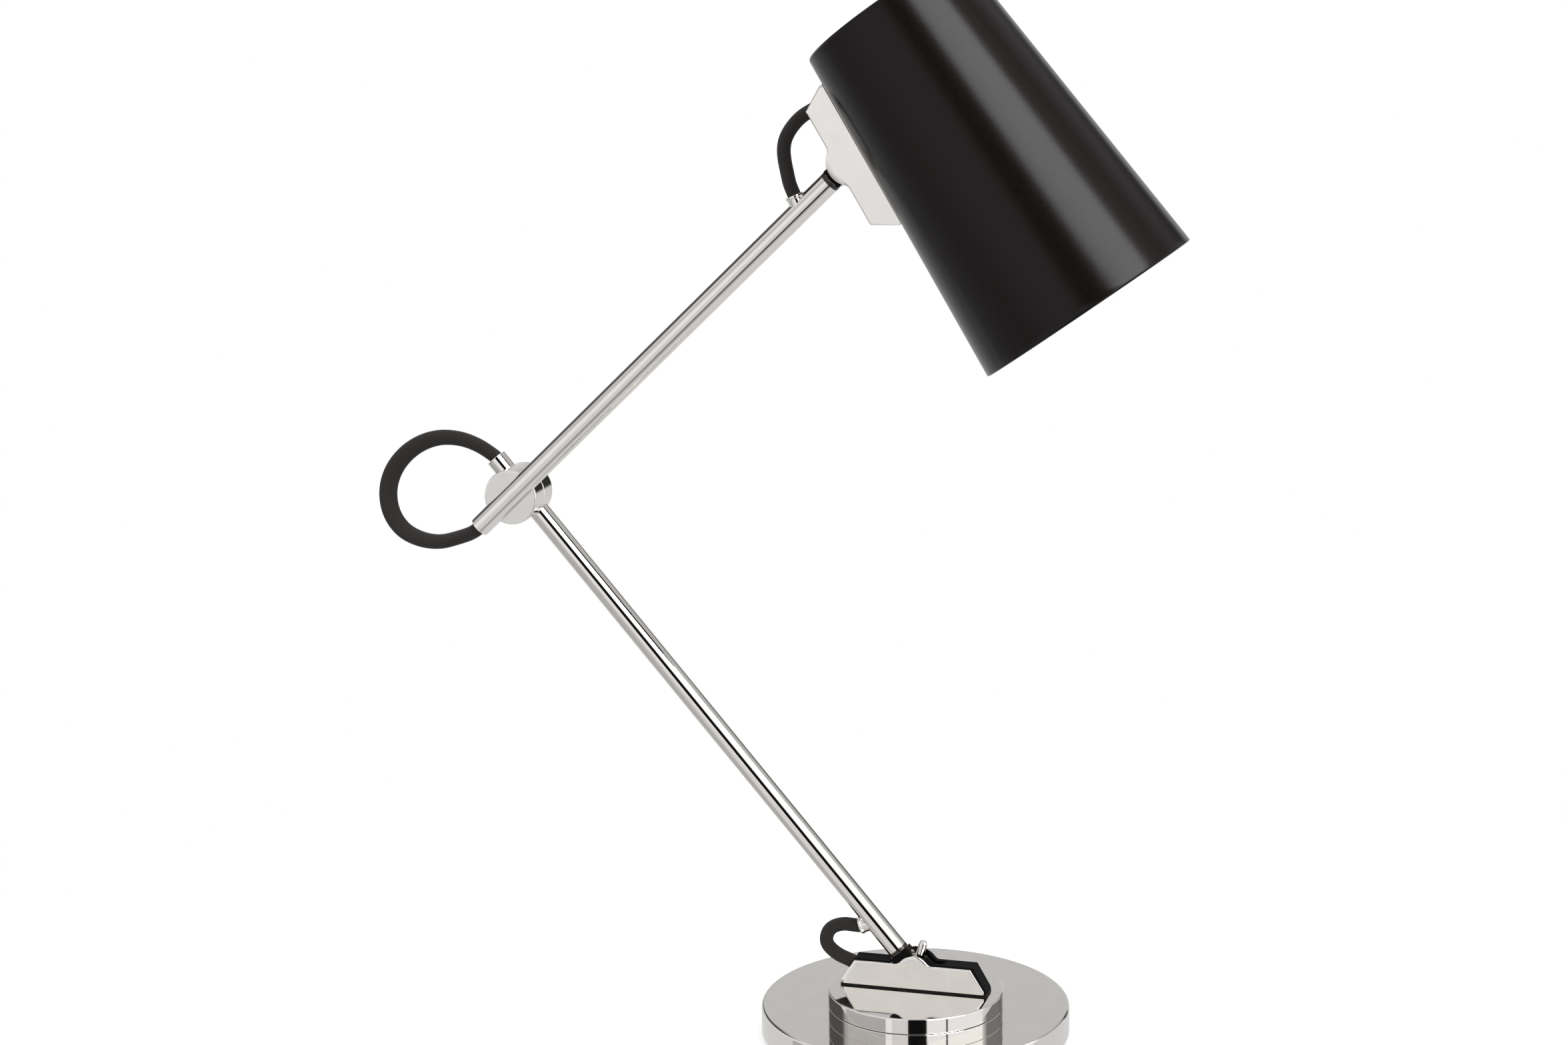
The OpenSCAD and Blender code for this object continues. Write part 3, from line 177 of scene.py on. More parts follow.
def ramp(mat, socket, low, high, start=0.35, end=0.65):
    r = node(mat, "ShaderNodeMapRange")
    r.inputs["From Min"].default_value = start
    r.inputs["From Max"].default_value = end
    r.inputs["To Min"].default_value = low
    r.inputs["To Max"].default_value = high
    link(mat, socket, r.inputs["Value"])
    return r.outputs[0]


def tint(mat, socket, low, high):
    r = node(mat, "ShaderNodeValToRGB")
    r.color_ramp.elements[0].position = 0.3
    r.color_ramp.elements[0].color = (*low, 1)
    r.color_ramp.elements[1].position = 0.7
    r.color_ramp.elements[1].color = (*high, 1)
    link(mat, socket, r.inputs[0])
    return r.outputs[0]


def bump(mat, shader, socket, strength, distance):
    b = node(mat, "ShaderNodeBump")
    b.inputs["Strength"].default_value = strength
    b.inputs["Distance"].default_value = distance
    link(mat, socket, b.inputs["Height"])
    link(mat, b.outputs[0], shader.inputs["Normal"])


def simple(name, low, high, rough, metallic=0.0, scale=400.0, grain=0.15, depth=0.0001,
           stretch=None, coat=0.0, specular=0.5):
    mat, s = new_material(name)
    s.inputs["Metallic"].default_value = metallic
    s.inputs["Specular IOR Level"].default_value = specular
    s.inputs["Coat Weight"].default_value = coat
    s.inputs["Coat Roughness"].default_value = 0.12
    fine = noise_of(mat, scale, 4.0, stretch)
    link(mat, tint(mat, fine, low, high), s.inputs["Base Color"])
    link(mat, ramp(mat, noise_of(mat, scale * 0.3, 3.0, stretch), rough[0], rough[1]), s.inputs["Roughness"])
    if grain:
        bump(mat, s, fine, grain, depth)
    return mat


NICKEL = simple("polished_nickel", (0.785, 0.762, 0.735), (0.815, 0.792, 0.765), (0.035, 0.06),
                metallic=1.0, scale=90.0, grain=0.0)
STEEL = simple("zinc_steel", (0.50, 0.51, 0.53), (0.62, 0.63, 0.64), (0.28, 0.42), metallic=1.0,
               scale=900.0, grain=0.1, stretch=(1, 1, 0.06))
IRON = simple("cast_iron", (0.10, 0.10, 0.105), (0.19, 0.19, 0.195), (0.6, 0.8), metallic=0.6,
              scale=500.0, grain=0.5, depth=0.0004)
BLACK_PAINT = simple("black_paint", (0.0056, 0.0042, 0.0037), (0.0068, 0.0053, 0.0047), (0.20, 0.23),
                     scale=1600.0, grain=0.05, depth=0.00003, specular=0.17)
SHADE_INSIDE = simple("shade_inside", (0.76, 0.76, 0.74), (0.82, 0.82, 0.80), (0.5, 0.6),
                      scale=1300.0, grain=0.06, depth=0.00004)
NYLON = simple("black_nylon", (0.0022, 0.0020, 0.0020), (0.0034, 0.0031, 0.0030), (0.6, 0.7), scale=2500.0,
               grain=0.2, depth=0.00004, specular=0.08)
RUBBER = simple("black_rubber", (0.005, 0.0046, 0.0045), (0.008, 0.0074, 0.007), (0.7, 0.85),
                scale=1800.0, grain=0.3, depth=0.00006, specular=0.15)
FELT = simple("felt", (0.012, 0.012, 0.013), (0.035, 0.034, 0.036), (0.95, 1.0), scale=3500.0,
              grain=1.0, depth=0.0004, specular=0.1)
BAKELITE = simple("bakelite", (0.010, 0.009, 0.008), (0.018, 0.016, 0.014), (0.18, 0.26),
                  scale=700.0, grain=0.04, coat=0.3)
BRASS = simple("brass", (0.72, 0.52, 0.24), (0.82, 0.62, 0.32), (0.22, 0.34), metallic=1.0,
               scale=500.0, grain=0.06)
# Near-black brown painted on the polished tubes' hinge ends: a painted reflection of the bracket's dark core, not a
# part of its own
TUBE_RING_PAINTED_REFLECTION = simple("tube_ring_painted_reflection", (0.012, 0.008, 0.006), (0.03, 0.02, 0.015), (0.2, 0.3), scale=300.0, grain=0.0)
BULB_METAL = simple("bulb_metal", (0.72, 0.72, 0.72), (0.84, 0.84, 0.84), (0.22, 0.34), metallic=1.0,
                    scale=500.0, grain=0.05)


def glass_material():
    mat, s = new_material("bulb_glass")
    s.inputs["Transmission Weight"].default_value = 0.35
    s.inputs["IOR"].default_value = 1.46
    s.inputs["Specular IOR Level"].default_value = 0.5
    fine = noise_of(mat, 60.0, 2.0)
    link(mat, tint(mat, fine, (0.90, 0.89, 0.86), (0.95, 0.94, 0.92)), s.inputs["Base Color"])
    link(mat, ramp(mat, fine, 0.28, 0.36), s.inputs["Roughness"])
    return mat


BULB_GLASS = glass_material()


def cord_material():
    """Braided textile: two sets of strands that pass over and under each other, from the UV map."""
    mat, s = new_material("braided_cord")
    s.inputs["Specular IOR Level"].default_value = 0.12
    s.inputs["Sheen Weight"].default_value = 0.3
    s.inputs["Sheen Roughness"].default_value = 0.4
    s.inputs["Sheen Tint"].default_value = (0.30, 0.28, 0.27, 1)
    s.inputs["Roughness"].default_value = 0.85
    uv = node(mat, "ShaderNodeUVMap", uv_map="UVMap")
    split = node(mat, "ShaderNodeSeparateXYZ")
    link(mat, uv.outputs[0], split.inputs[0])

    def math_node(op, a, b=None):
        m = node(mat, "ShaderNodeMath", operation=op)
        for i, v in enumerate((a, b)):
            if v is None:
                continue
            if isinstance(v, (int, float)):
                m.inputs[i].default_value = v
            else:
                link(mat, v, m.inputs[i])
        return m.outputs[0]

    yarns = 5.0          # yarns side by side in a strand
    a = math_node("ADD", split.outputs[0], split.outputs[1])
    b = math_node("SUBTRACT", split.outputs[0], split.outputs[1])
    over = math_node("MULTIPLY", math_node("SINE", math_node("MULTIPLY", a, math.pi)),
                     math_node("SINE", math_node("MULTIPLY", b, math.pi)))
    mask = math_node("GREATER_THAN", over, 0.0)
    lines_a = math_node("SINE", math_node("MULTIPLY", a, 2 * math.pi * yarns))
    lines_b = math_node("SINE", math_node("MULTIPLY", b, 2 * math.pi * yarns))
    mixed = node(mat, "ShaderNodeMix", data_type="FLOAT")
    link(mat, mask, mixed.inputs[0])
    link(mat, lines_a, mixed.inputs[2])
    link(mat, lines_b, mixed.inputs[3])
    fuzz = noise_of(mat, 2600.0, 4.0)
    height = math_node("ADD", math_node("MULTIPLY", mixed.outputs[0], 0.5), fuzz)
    # Painted shade: the braid is darker in the grooves where strands pass under each other, and its tone also varies
    # at random with the fuzz
    groove_shade_and_fuzz = math_node("ADD", math_node("MULTIPLY", math_node("ABSOLUTE", over), 0.55),
                         math_node("MULTIPLY", fuzz, 0.5))
    link(mat, tint(mat, groove_shade_and_fuzz, (0.016, 0.0145, 0.014), (0.052, 0.048, 0.046)), s.inputs["Base Color"])
    bump(mat, s, height, 0.6, 0.0001)
    return mat


CORD = cord_material()

SLOT_MATERIAL = {
    "polished_nickel": NICKEL, "black_paint": BLACK_PAINT, "black_nylon": NYLON,
    "black_rubber": RUBBER, "braided_cord": CORD, "felt": FELT, "cast_iron": IRON, "steel": STEEL,
    "bakelite": BAKELITE, "brass": BRASS, "bulb_metal": BULB_METAL, "bulb_glass": BULB_GLASS,
}
node_slot = {s["node"]: s["material_slot"] for s in frame["record"]["subparts"]}
for name, obj in frame["nodes"].items():
    mat = SLOT_MATERIAL[node_slot[name]]
    if not obj.material_slots:
        obj.data.materials.append(mat)
    for material_slot in obj.material_slots:
        material_slot.material = mat

body_of_node = {n: b for b, names in frame["record"]["behaviour"]["bodies"].items() for n in names}


# ---- Mesh helpers ----

def finish_piece(obj, nodes, body=None):
    """Rides on the first node's body and replaces the nodes."""
    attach(obj, body or body_of_node[nodes[0]])
    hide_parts(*nodes)
    return obj


def make_object(name, verts, faces, place, mats, sharp=35.0, uvs=None, face_mats=None):
    mesh = bpy.data.meshes.new(name)
    mesh.from_pydata([(place @ Vector(v)) * MM for v in verts], [], faces)
    for m in mats:
        mesh.materials.append(m)
    if face_mats:
        mesh.polygons.foreach_set("material_index", face_mats)
    if uvs:
        layer = mesh.uv_layers.new(name="UVMap")
        for poly, corners in zip(mesh.polygons, uvs):
            for li, uv in zip(poly.loop_indices, corners):
                layer.data[li].uv = uv
    mesh.polygons.foreach_set("use_smooth", [True] * len(mesh.polygons))
    mesh.update()
    bm = bmesh.new()
    bm.from_mesh(mesh)
    bmesh.ops.recalc_face_normals(bm, faces=bm.faces)
    bm.to_mesh(mesh)
    bm.free()
    mesh.set_sharp_from_angle(angle=math.radians(sharp))
    obj = bpy.data.objects.new(name, mesh)
    bpy.context.scene.collection.objects.link(obj)
    return obj


SUPPORT = 0.12         # width of the flat strip kept beside an arc


def rounded(points, steps=6):
    """Points (x, y) or (x, y, radius): the corners with a radius become arcs. The path is open."""
    out = []
    for i, p in enumerate(points):
        r = p[2] if len(p) > 2 else 0
        if not r or i in (0, len(points) - 1):
            out.append((p[0], p[1]))
            continue
        c = Vector(p[:2])
        a = (Vector(points[i - 1][:2]) - c).normalized()
        b = (Vector(points[i + 1][:2]) - c).normalized()
        half = math.acos(max(-1, min(1, a.dot(b)))) / 2
        d = r / math.tan(half)
        mid = c + (a + b).normalized() * (r / math.sin(half))
        s = c + a * d - mid
        e = c + b * d - mid
        rest = (Vector(points[i - 1][:2]) - c).length - d
        if rest > 3 * SUPPORT:              # keeps the flat before the arc flat in the smooth shading
            out.append(tuple(c + a * (d + SUPPORT)))
        angle = s.angle_signed(e)
        for k in range(steps + 1):
            t = -angle * k / steps
            q = Vector((s.x * math.cos(t) - s.y * math.sin(t), s.x * math.sin(t) + s.y * math.cos(t)))
            out.append((mid.x + q.x, mid.y + q.y))
        if (Vector(points[i + 1][:2]) - c).length - d > 3 * SUPPORT:
            out.append(tuple(c + b * (d + SUPPORT)))
    return out


def lathe(name, path, place, mats, nodes, segs=96, closed=False, sharp=35.0, face_mat=None, body=None,
          finish=True):
    """Turns the path of (radius, z) round the Z axis of place. A closed path joins its ends."""
    path = [p for i, p in enumerate(path) if i == 0 or (Vector(p) - Vector(path[i - 1])).length > 1e-6]
    verts, rings = [], []
    for r, z in path:
        if r < 1e-6:
            rings.append([len(verts)])
            verts.append((0, 0, z))
        else:
            rings.append(list(range(len(verts), len(verts) + segs)))
            verts += [(r * math.cos(2 * math.pi * k / segs), r * math.sin(2 * math.pi * k / segs), z)
                      for k in range(segs)]
    faces, fm = [], []
    pairs = list(zip(range(len(path)), range(1, len(path)))) + ([(len(path) - 1, 0)] if closed else [])
    for i, j in pairs:
        a, b = rings[i], rings[j]
        m = face_mat(path[i], path[j]) if face_mat else 0
        for k in range(segs):
            n = (k + 1) % segs
            if len(a) == 1 and len(b) == 1:
                continue
            if len(a) == 1:
                faces.append((a[0], b[n], b[k]))
            elif len(b) == 1:
                faces.append((a[k], a[n], b[0]))
            else:
                faces.append((a[k], a[n], b[n], b[k]))
            fm.append(m)
    obj = make_object(name, verts, faces, place, mats, sharp, face_mats=fm if face_mat else None)
    return finish_piece(obj, nodes, body) if finish else obj


def subtract(obj, cutters):
    """Cuts the cutters out of obj and deletes them."""
    for cutter in cutters:
        mod = obj.modifiers.new("cut", "BOOLEAN")
        mod.operation = "DIFFERENCE"
        mod.solver = "EXACT"
        mod.object = cutter
    bpy.context.view_layer.update()
    mesh = bpy.data.meshes.new_from_object(obj.evaluated_get(bpy.context.evaluated_depsgraph_get()))
    obj.modifiers.clear()
    obj.data = mesh
    for cutter in cutters:
        bpy.data.objects.remove(cutter)
    return obj


def join(name, objs):
    """One object from several that have the same materials; they aren't riding yet."""
    bm = bmesh.new()
    for o in objs:
        bm.from_mesh(o.data)
    mesh = bpy.data.meshes.new(name)
    bm.to_mesh(mesh)
    bm.free()
    for m in objs[0].data.materials:
        mesh.materials.append(m)
    for o in objs:
        bpy.data.objects.remove(o)
    obj = bpy.data.objects.new(name, mesh)
    bpy.context.scene.collection.objects.link(obj)
    return obj


# ---- Cords ----

def smooth_path(points, first, last, step):
    """Centripetal-like spline through the points, with given end directions, in even steps."""
    pts = [Vector(p) for p in points]
    n = len(pts)
    tangents = []
    for i in range(n):
        if i == 0:
            tangents.append(Vector(first).normalized() * (pts[1] - pts[0]).length)
        elif i == n - 1:
            tangents.append(Vector(last).normalized() * (pts[-1] - pts[-2]).length)
        else:
            before, after = (pts[i] - pts[i - 1]).length, (pts[i + 1] - pts[i]).length
            way = ((pts[i] - pts[i - 1]) / before * after + (pts[i + 1] - pts[i]) / after * before)
            tangents.append(way.normalized() * (before + after) / 2)
    dense = []
    for i in range(n - 1):
        for k in range(60):
            t = k / 60
            h00, h10 = 2 * t**3 - 3 * t**2 + 1, t**3 - 2 * t**2 + t
            h01, h11 = -2 * t**3 + 3 * t**2, t**3 - t**2
            dense.append(h00 * pts[i] + h10 * tangents[i] + h01 * pts[i + 1] + h11 * tangents[i + 1])
    dense.append(pts[-1])
    total = sum((b - a).length for a, b in zip(dense, dense[1:]))
    count = max(4, round(total / step))
    out, run, want, k = [dense[0]], 0.0, total / count, 0
    for a, b in zip(dense, dense[1:]):
        d = (b - a).length
        while run + d >= want - 1e-9 and len(out) < count:
            out.append(a + (b - a) * ((want - run) / d))
            want += total / count
        run += d
    out.append(dense[-1])
    return out, total


STRANDS = 20           # strands side by side round the cord
STRAND_LEN = 1.75      # millimetres along the cord from one crossing to the next
CORD_SIDES = 80
CORD_STEP = 0.35
BRAID = 0.13           # how far the strands stand up


def cord_piece(name, points, first, last, replaced, flat=0.0, thin=0.0):
    """Braided cord through the points, leaving and reaching them in the given directions. flat widens it along its
    loop's plane round its middle; thin takes a little off its radius."""
    path, total = smooth_path(points, first, last, CORD_STEP)
    n = len(path)
    verts, faces, uvs = [], [], []
    side = Vector((0, 1, 0))
    for i, p in enumerate(path):
        if i == 0:
            t = Vector(first).normalized()
        elif i == n - 1:
            t = Vector(last).normalized()
        else:
            t = (path[i + 1] - path[i - 1]).normalized()
        side = (side - t * side.dot(t)).normalized()
        other = t.cross(side)
        along = i * total / (n - 1) / STRAND_LEN
        middle = max(0.0, math.sin(math.pi * i / (n - 1)))**2
        for j in range(CORD_SIDES):
            round_at = j / CORD_SIDES * STRANDS
            a, b = round_at + along, round_at - along
            over = math.sin(math.pi * a) * math.sin(math.pi * b)
            r = CORD_R - thin - BRAID + BRAID * math.sqrt(abs(over))
            angle = 2 * math.pi * j / CORD_SIDES
            wide = 1 + flat * middle
            verts.append(p + (side * math.cos(angle) / wide + other * math.sin(angle) * wide) * r)
    for i in range(n - 1):
        for j in range(CORD_SIDES):
            k = (j + 1) % CORD_SIDES
            a, b = i * CORD_SIDES, (i + 1) * CORD_SIDES
            faces.append((a + j, a + k, b + k, b + j))
            u0, u1 = j / CORD_SIDES * STRANDS, (j + 1) / CORD_SIDES * STRANDS
            v0, v1 = i * total / (n - 1) / STRAND_LEN, (i + 1) * total / (n - 1) / STRAND_LEN
            uvs.append(((u0, v0), (u1, v0), (u1, v1), (u0, v1)))
    faces.append(tuple(range(CORD_SIDES - 1, -1, -1)))
    uvs.append(tuple((j / CORD_SIDES * STRANDS, 0) for j in range(CORD_SIDES - 1, -1, -1)))
    faces.append(tuple((n - 1) * CORD_SIDES + j for j in range(CORD_SIDES)))
    uvs.append(tuple((j / CORD_SIDES * STRANDS, 0) for j in range(CORD_SIDES)))
    obj = make_object(name, verts, faces, Matrix.Identity(4), [CORD], 60.0, uvs)
    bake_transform(obj)
    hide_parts(replaced)
    return obj


def direction(angle):
    return Vector((cos(angle), 0, sin(angle)))


SEAT = 4.0                                  # how deep a cord sits in its seat
LEAD = 0.8                                  # how far it runs straight out of the hole
SLOPE_HOLE = 4.9                            # from the shoulder down the base bracket's end to its cord hole
HEAD_CORD_X, HEAD_CORD_TOP = 34.3, 9.0      # the head bracket's cord hole along it, and the cord's end in it
TUBE_SEAT = SEAT + 0.5                      # the same for the elbow's cord, in the tubes' open ends
BOSS_SEAT = (TUBE_R + CORD_R * sin(BOSS_LEAN) + 0.1) / cos(BOSS_LEAN)
slope_len = math.hypot(HALF_LEN - HALF_SH, SHOULDER - LIP)
slope_n = ((SHOULDER - LIP) / slope_len, (HALF_LEN - HALF_SH) / slope_len)
slope_mid = (HALF_SH + SLOPE_HOLE * slope_n[1], SHOULDER - SLOPE_HOLE * slope_n[0])
slope_seat = (slope_mid[0] - SEAT * slope_n[0], slope_mid[1] - SEAT * slope_n[1])
base_in = Vector((H.x - slope_seat[0], H.y + CORE_MID, FOOT_Z + slope_seat[1]))
base_in_dir = Vector((slope_n[0], 0, -slope_n[1]))
head_up = direction(WALL_DIR + 90)
head_foot = W - HINGE_H * head_up + Vector((0, CORE_MID, 0))
lower_dir, upper_dir = direction(LOWER_DIR), direction(UPPER_DIR)
lower_boss_dir = direction(LOWER_DIR + 90 - BOSS_LEAN)
upper_boss_dir = direction(UPPER_DIR + 90 - BOSS_LEAN)
lower_boss = H + BOSS_AT_LOWER * lower_dir
upper_boss = W - BOSS_AT_UPPER * upper_dir

# Free points of each loop, from its hinge
BASE_FREE = [(-37.3, 0, 24.6), (-41.6, 0, 24.7), (-45.9, 0, 23.8), (-49.4, 0, 22), (-51.8, 0, 19.2),
             (-53, 0, 14.6), (-52.1, 0, 11.2), (-49.5, 0.1, 8.3), (-45.5, 0.1, 5.6)]
ELBOW_FREE = [(-19.1, -0.1, 21.2), (-27.1, -0.3, 25.8), (-37.6, -1, 29.2), (-49.6, -3, 29.7), (-60.6, -5, 26.2),
              (-70.6, -7.2, 18.7), (-77.1, -9.6, 8.7), (-79.1, -12, -2.3), (-76.1, -14.6, -13.8),
              (-68.6, -17, -22.3), (-57.6, -19.2, -26.9), (-44.6, -20.9, -27.8), (-32.6, -21.6, -24.8),
              (-22.6, -21.8, -20.8)]
HEAD_FREE = [(-34.3, 0, -12.6), (-35.9, 0, -5.6), (-37.1, 0, 0.9), (-37.4, 0, 6), (-36.7, 0.1, 10.6),
             (-34.6, 0.1, 15.2), (-31.3, 0.1, 19.7), (-27.4, 0.1, 23.5)]

cord_piece(
    "base_cord",
    [lower_boss + BOSS_SEAT * lower_boss_dir, lower_boss + (BOSS_TOP + LEAD) * lower_boss_dir]
    + [H + Vector(p) for p in BASE_FREE] + [base_in - (SEAT + LEAD) * base_in_dir, base_in],
    lower_boss_dir, base_in_dir, "base_cord_loop")
cord_piece(
    "elbow_cord",
    [E + (LOWER_TAIL - TUBE_SEAT) * lower_dir, E + (LOWER_TAIL + LEAD) * lower_dir]
    + [E + Vector(p) for p in ELBOW_FREE]
    + [E_UP - (UPPER_TAIL + LEAD) * upper_dir, E_UP - (UPPER_TAIL - TUBE_SEAT) * upper_dir],
    lower_dir, upper_dir, "elbow_cord_loop",
    flat=0.33)
cord_piece(
    "head_cord",
    [upper_boss + BOSS_SEAT * upper_boss_dir, upper_boss + (BOSS_TOP + LEAD) * upper_boss_dir]
    + [W + Vector(p) for p in HEAD_FREE] + [head_foot + HEAD_CORD_X * direction(WALL_DIR) + HEAD_CORD_TOP * head_up],
    upper_boss_dir, -head_up, "head_cord_loop",
    thin=0.2)

# ---- Base and turning plates ----

lathe("base_shell", rounded([(BASE_R - 2, 3.0), (BASE_R - 2, BASE_Z, 0.3), (BASE_R, BASE_Z, 0.5),
                             (BASE_R, BASE_TOP, 1.7), (0, BASE_TOP)], 10),
      Matrix.Identity(4), [NICKEL], ["base_cover"], segs=256)
lathe("base_felt", rounded([(0, 0), (BASE_R - 1, 0, 0.5), (BASE_R - 1, BASE_Z, 0.3), (0, BASE_Z)], 4),
      Matrix.Identity(4), [FELT], ["felt_pad"], segs=192)
lathe("turning_plate_low", rounded([(PUCK_R - 6, BASE_TOP), (PUCK_R, BASE_TOP, 0.35),
                                    (PUCK_R, BASE_TOP + PUCK_H, 0.35), (0, BASE_TOP + PUCK_H)], 6),
      AT_SWIVEL, [NICKEL], ["lower_puck"], segs=224)
puck_z = BASE_TOP + PUCK_H + PUCK_GAP
lathe("turning_plate_top", rounded([(0, puck_z), (PUCK_R, puck_z, 0.35),
                                    (PUCK_R, puck_z + PUCK_H, 0.8), (0, puck_z + PUCK_H)], 8),
      AT_SWIVEL, [NICKEL], ["upper_puck"], segs=224)

# ---- Brackets ----

def bracket_half(wide, hump, cut, low):
    """The +X half of a cheek's outline and of its flat's, as pairs of points from the foot to the crest.

    wide: a wide bevel at the sloping end, which then keeps the core's length; hump: the width of the bevel over the
    hump; cut: how far the outline is inside the core's; low: how much lower the hump is."""
    top, r = SHOULDER - cut * 0.8, HUMP_R - low
    cut = 0.0 if wide else cut
    side = HALF_LEN - cut
    fz = top + HUMP_FILLET
    fx = math.sqrt((r + HUMP_FILLET)**2 - (fz - HINGE_H)**2)
    start = math.degrees(math.atan2(fz - HINGE_H, fx))
    a, b, corner = (2.9, 2.0, 2.2) if wide else (0.6, 0.6, 0.9)
    outer = rounded([(side, 0), (side, LIP, 0.6), (HALF_SH - cut, top, 0.9), (fx, top)], 5)
    inner = rounded([(side - a, 0), (side - a, LIP + 0.5, 0.5), (HALF_SH - cut - b, top - 0.95, corner),
                     (fx, top - 0.89)], 5)
    pairs = list(zip(outer, inner))
    for k in range(1, 25):
        if k <= 12:
            turn = 270 - (90 - start) * k / 12
            out = (fx + HUMP_FILLET * cos(turn), fz + HUMP_FILLET * sin(turn))
        else:
            turn = start + (90 - start) * (k - 12) / 12
            out = (r * cos(turn), HINGE_H + r * sin(turn))
        rise = HINGE_H + r - hump - top + 0.89
        pairs.append((out, (fx * (1 - k / 24), top - 0.89 + rise * sin(90 * k / 24)**2)))
    return pairs


def cheek(name, place, thick, depth, replaced, wide, hump, cut=0.0, low=0.0):
    """Flat bevelled cheek: the inner face at z = 0 and the outer one at z = thick.

    wide is 1 or -1: the end along X that has the wide bevel."""
    other_half = reversed(bracket_half(wide < 0, hump, cut, low)[:-1])
    path = bracket_half(wide > 0, hump, cut, low) + [((-p[0], p[1]), (-q[0], q[1])) for p, q in other_half]
    bevel = 0.95
    rings = [(0.0, 0.0), (0.0, SUPPORT), (0.0, thick - bevel - 0.05)]
    rings += [(1 - cos(90 * k / 8), thick - bevel + bevel * sin(90 * k / 8)) for k in range(9)]
    rings.append((1.04, thick))
    n = len(path)
    verts = [(p[0] + (q[0] - p[0]) * f, p[1] + (q[1] - p[1]) * f, z) for f, z in rings for p, q in path]
    faces = []
    for r in range(len(rings) - 1):
        for i in range(n):
            j = (i + 1) % n
            faces.append((r * n + i, r * n + j, (r + 1) * n + j, (r + 1) * n + i))
    last = (len(rings) - 1) * n
    flat_from = len(faces)
    for i in range(n // 2):                 # strips from side to side
        j = n - 1 - i
        strip = [i, i + 1, j - 1, j] if j - i > 2 else [i, i + 1, j]
        faces.append(tuple(last + v for v in strip))
        faces.append(tuple(reversed(strip)))
    obj = make_object(name, verts, faces, place @ depth, [NICKEL], 28.0)
    for poly in obj.data.polygons[flat_from:]:
        poly.use_smooth = False
    return finish_piece(obj, replaced)


for where, tag, wide, hump, cut, low in ((AT_BASE_BRACKET, "base", -1, 1.3, 1.5, 2.6),
                                         (AT_HEAD_BRACKET, "head", 1, 3.4, 0.0, 0.5)):
    cheek(f"{tag}_front_cheek", where, FRONT_T, shift(0, -BRACKET_T / 2 + FRONT_T, 0) @ TO_FRONT,
          [f"{tag}_bracket_front_cheek"], wide, hump, cut, low)
    flip = Matrix.Rotation(math.pi, 4, "Z") @ TO_FRONT
    cheek(f"{tag}_back_cheek", where, BACK_T, shift(0, BRACKET_T / 2 - BACK_T, 0) @ flip,
          [f"{tag}_bracket_back_cheek"], -wide, 1.5)


# ---- Screws ----

def hex_head(name, place, r, h, socket_r):
    """Domed head with a hexagonal socket cut in; its underside is at z = 0."""
    head = lathe(name, rounded([(0, h), (r * 0.62, h, 0.8), (r, h * 0.45, 0.5), (r, 0, 0.15), (0, 0)], 5),
                 place, [NICKEL], [], segs=64, finish=False)
    cutter = lathe(name + "_cut", [(0, h * 0.35), (socket_r, h * 0.35), (socket_r, h + 1), (0, h + 1)],
                   place, [NICKEL], [], segs=6, finish=False)
    return subtract(head, [cutter])


for where, tag in ((AT_BASE_BRACKET, "base"), (AT_HEAD_BRACKET, "head")):
    heads = [hex_head(f"{tag}_cheek_head_{i}", where @ shift(x, BRACKET_T / 2, CHEEK_SCREW_Z) @ TO_BACK,
                      2.8, 1.8, 1.15)
             for i, x in enumerate((-CHEEK_SCREW_X, CHEEK_SCREW_X))]
    finish_piece(join(f"{tag}_cheek_screw_heads", heads), [f"{tag}_cheek_screws"])
    pin_head = hex_head(f"{tag}_pin_head", where @ shift(0, BRACKET_T / 2, HINGE_H) @ TO_BACK, 4.6, 2.2, 1.8)
    finish_piece(pin_head, [f"{tag}_hinge_pin"])

# ---- Tubes ----

# Length of the painted reflection ring at each tube's hinge end
RING_LEN = 2.2         # the dark ring at a tube's hinge end


def closed_tube(name, place, length, nodes, ring):
    """Tube along Z, open at both ends; the outside between the two values of z in ring is painted dark, a painted
    reflection of the bracket's dark core on the polished tube.
    """
    r, e = TUBE_R, 0.22
    half = [(TUBE_IN, e + SUPPORT), (TUBE_IN, e), (TUBE_IN + e, 0), (r - e, 0), (r - e * 0.3, e * 0.3), (r, e),
            (r, e + SUPPORT), (r, RING_LEN)]
    path = half + [(x, length - z) for x, z in reversed(half)]

    # Outside faces inside ring get the painted reflection material
    def dark(p, q):
        return 1 if p[0] > r - 0.3 and q[0] > r - 0.3 and all(ring[0] <= v[1] <= ring[1] for v in (p, q)) else 0

    return lathe(name, path, place, [NICKEL, TUBE_RING_PAINTED_REFLECTION], nodes, segs=128, closed=True, sharp=50, face_mat=dark)


closed_tube("lower_arm_tube", AT_LOWER @ shift(TUBE_START, 0, 0) @ ALONG_X,
            LOWER_LEN + LOWER_TAIL - TUBE_START, ["lower_tube"], (-1, RING_LEN + 0.05))
upper_tube_len = UPPER_LEN + UPPER_TAIL - TUBE_START
closed_tube("upper_arm_tube", AT_UPPER @ shift(-UPPER_TAIL, 0, 0) @ ALONG_X, upper_tube_len, ["upper_tube"],
            (upper_tube_len - RING_LEN - 0.05, upper_tube_len + 1))


def boss(name, place, along, turn, nodes):
    """Flared ring where the cord enters a tube."""
    at = place @ shift(along, 0, 0) @ turn_y(90 - turn)
    hole, neck, flare, foot, top = 4.2, 4.9, 5.4, 1.5, BOSS_TOP
    path = rounded([(hole, BOSS_SEAT), (hole, top, 0.25), (flare, top, 0.4), (flare, top - 1.3, 0.4),
                    (neck, top - 1.7, 0.3), (neck, foot)], 5)
    return lathe(name, path + [(hole, foot)], at, [NICKEL], nodes, segs=72, closed=True)


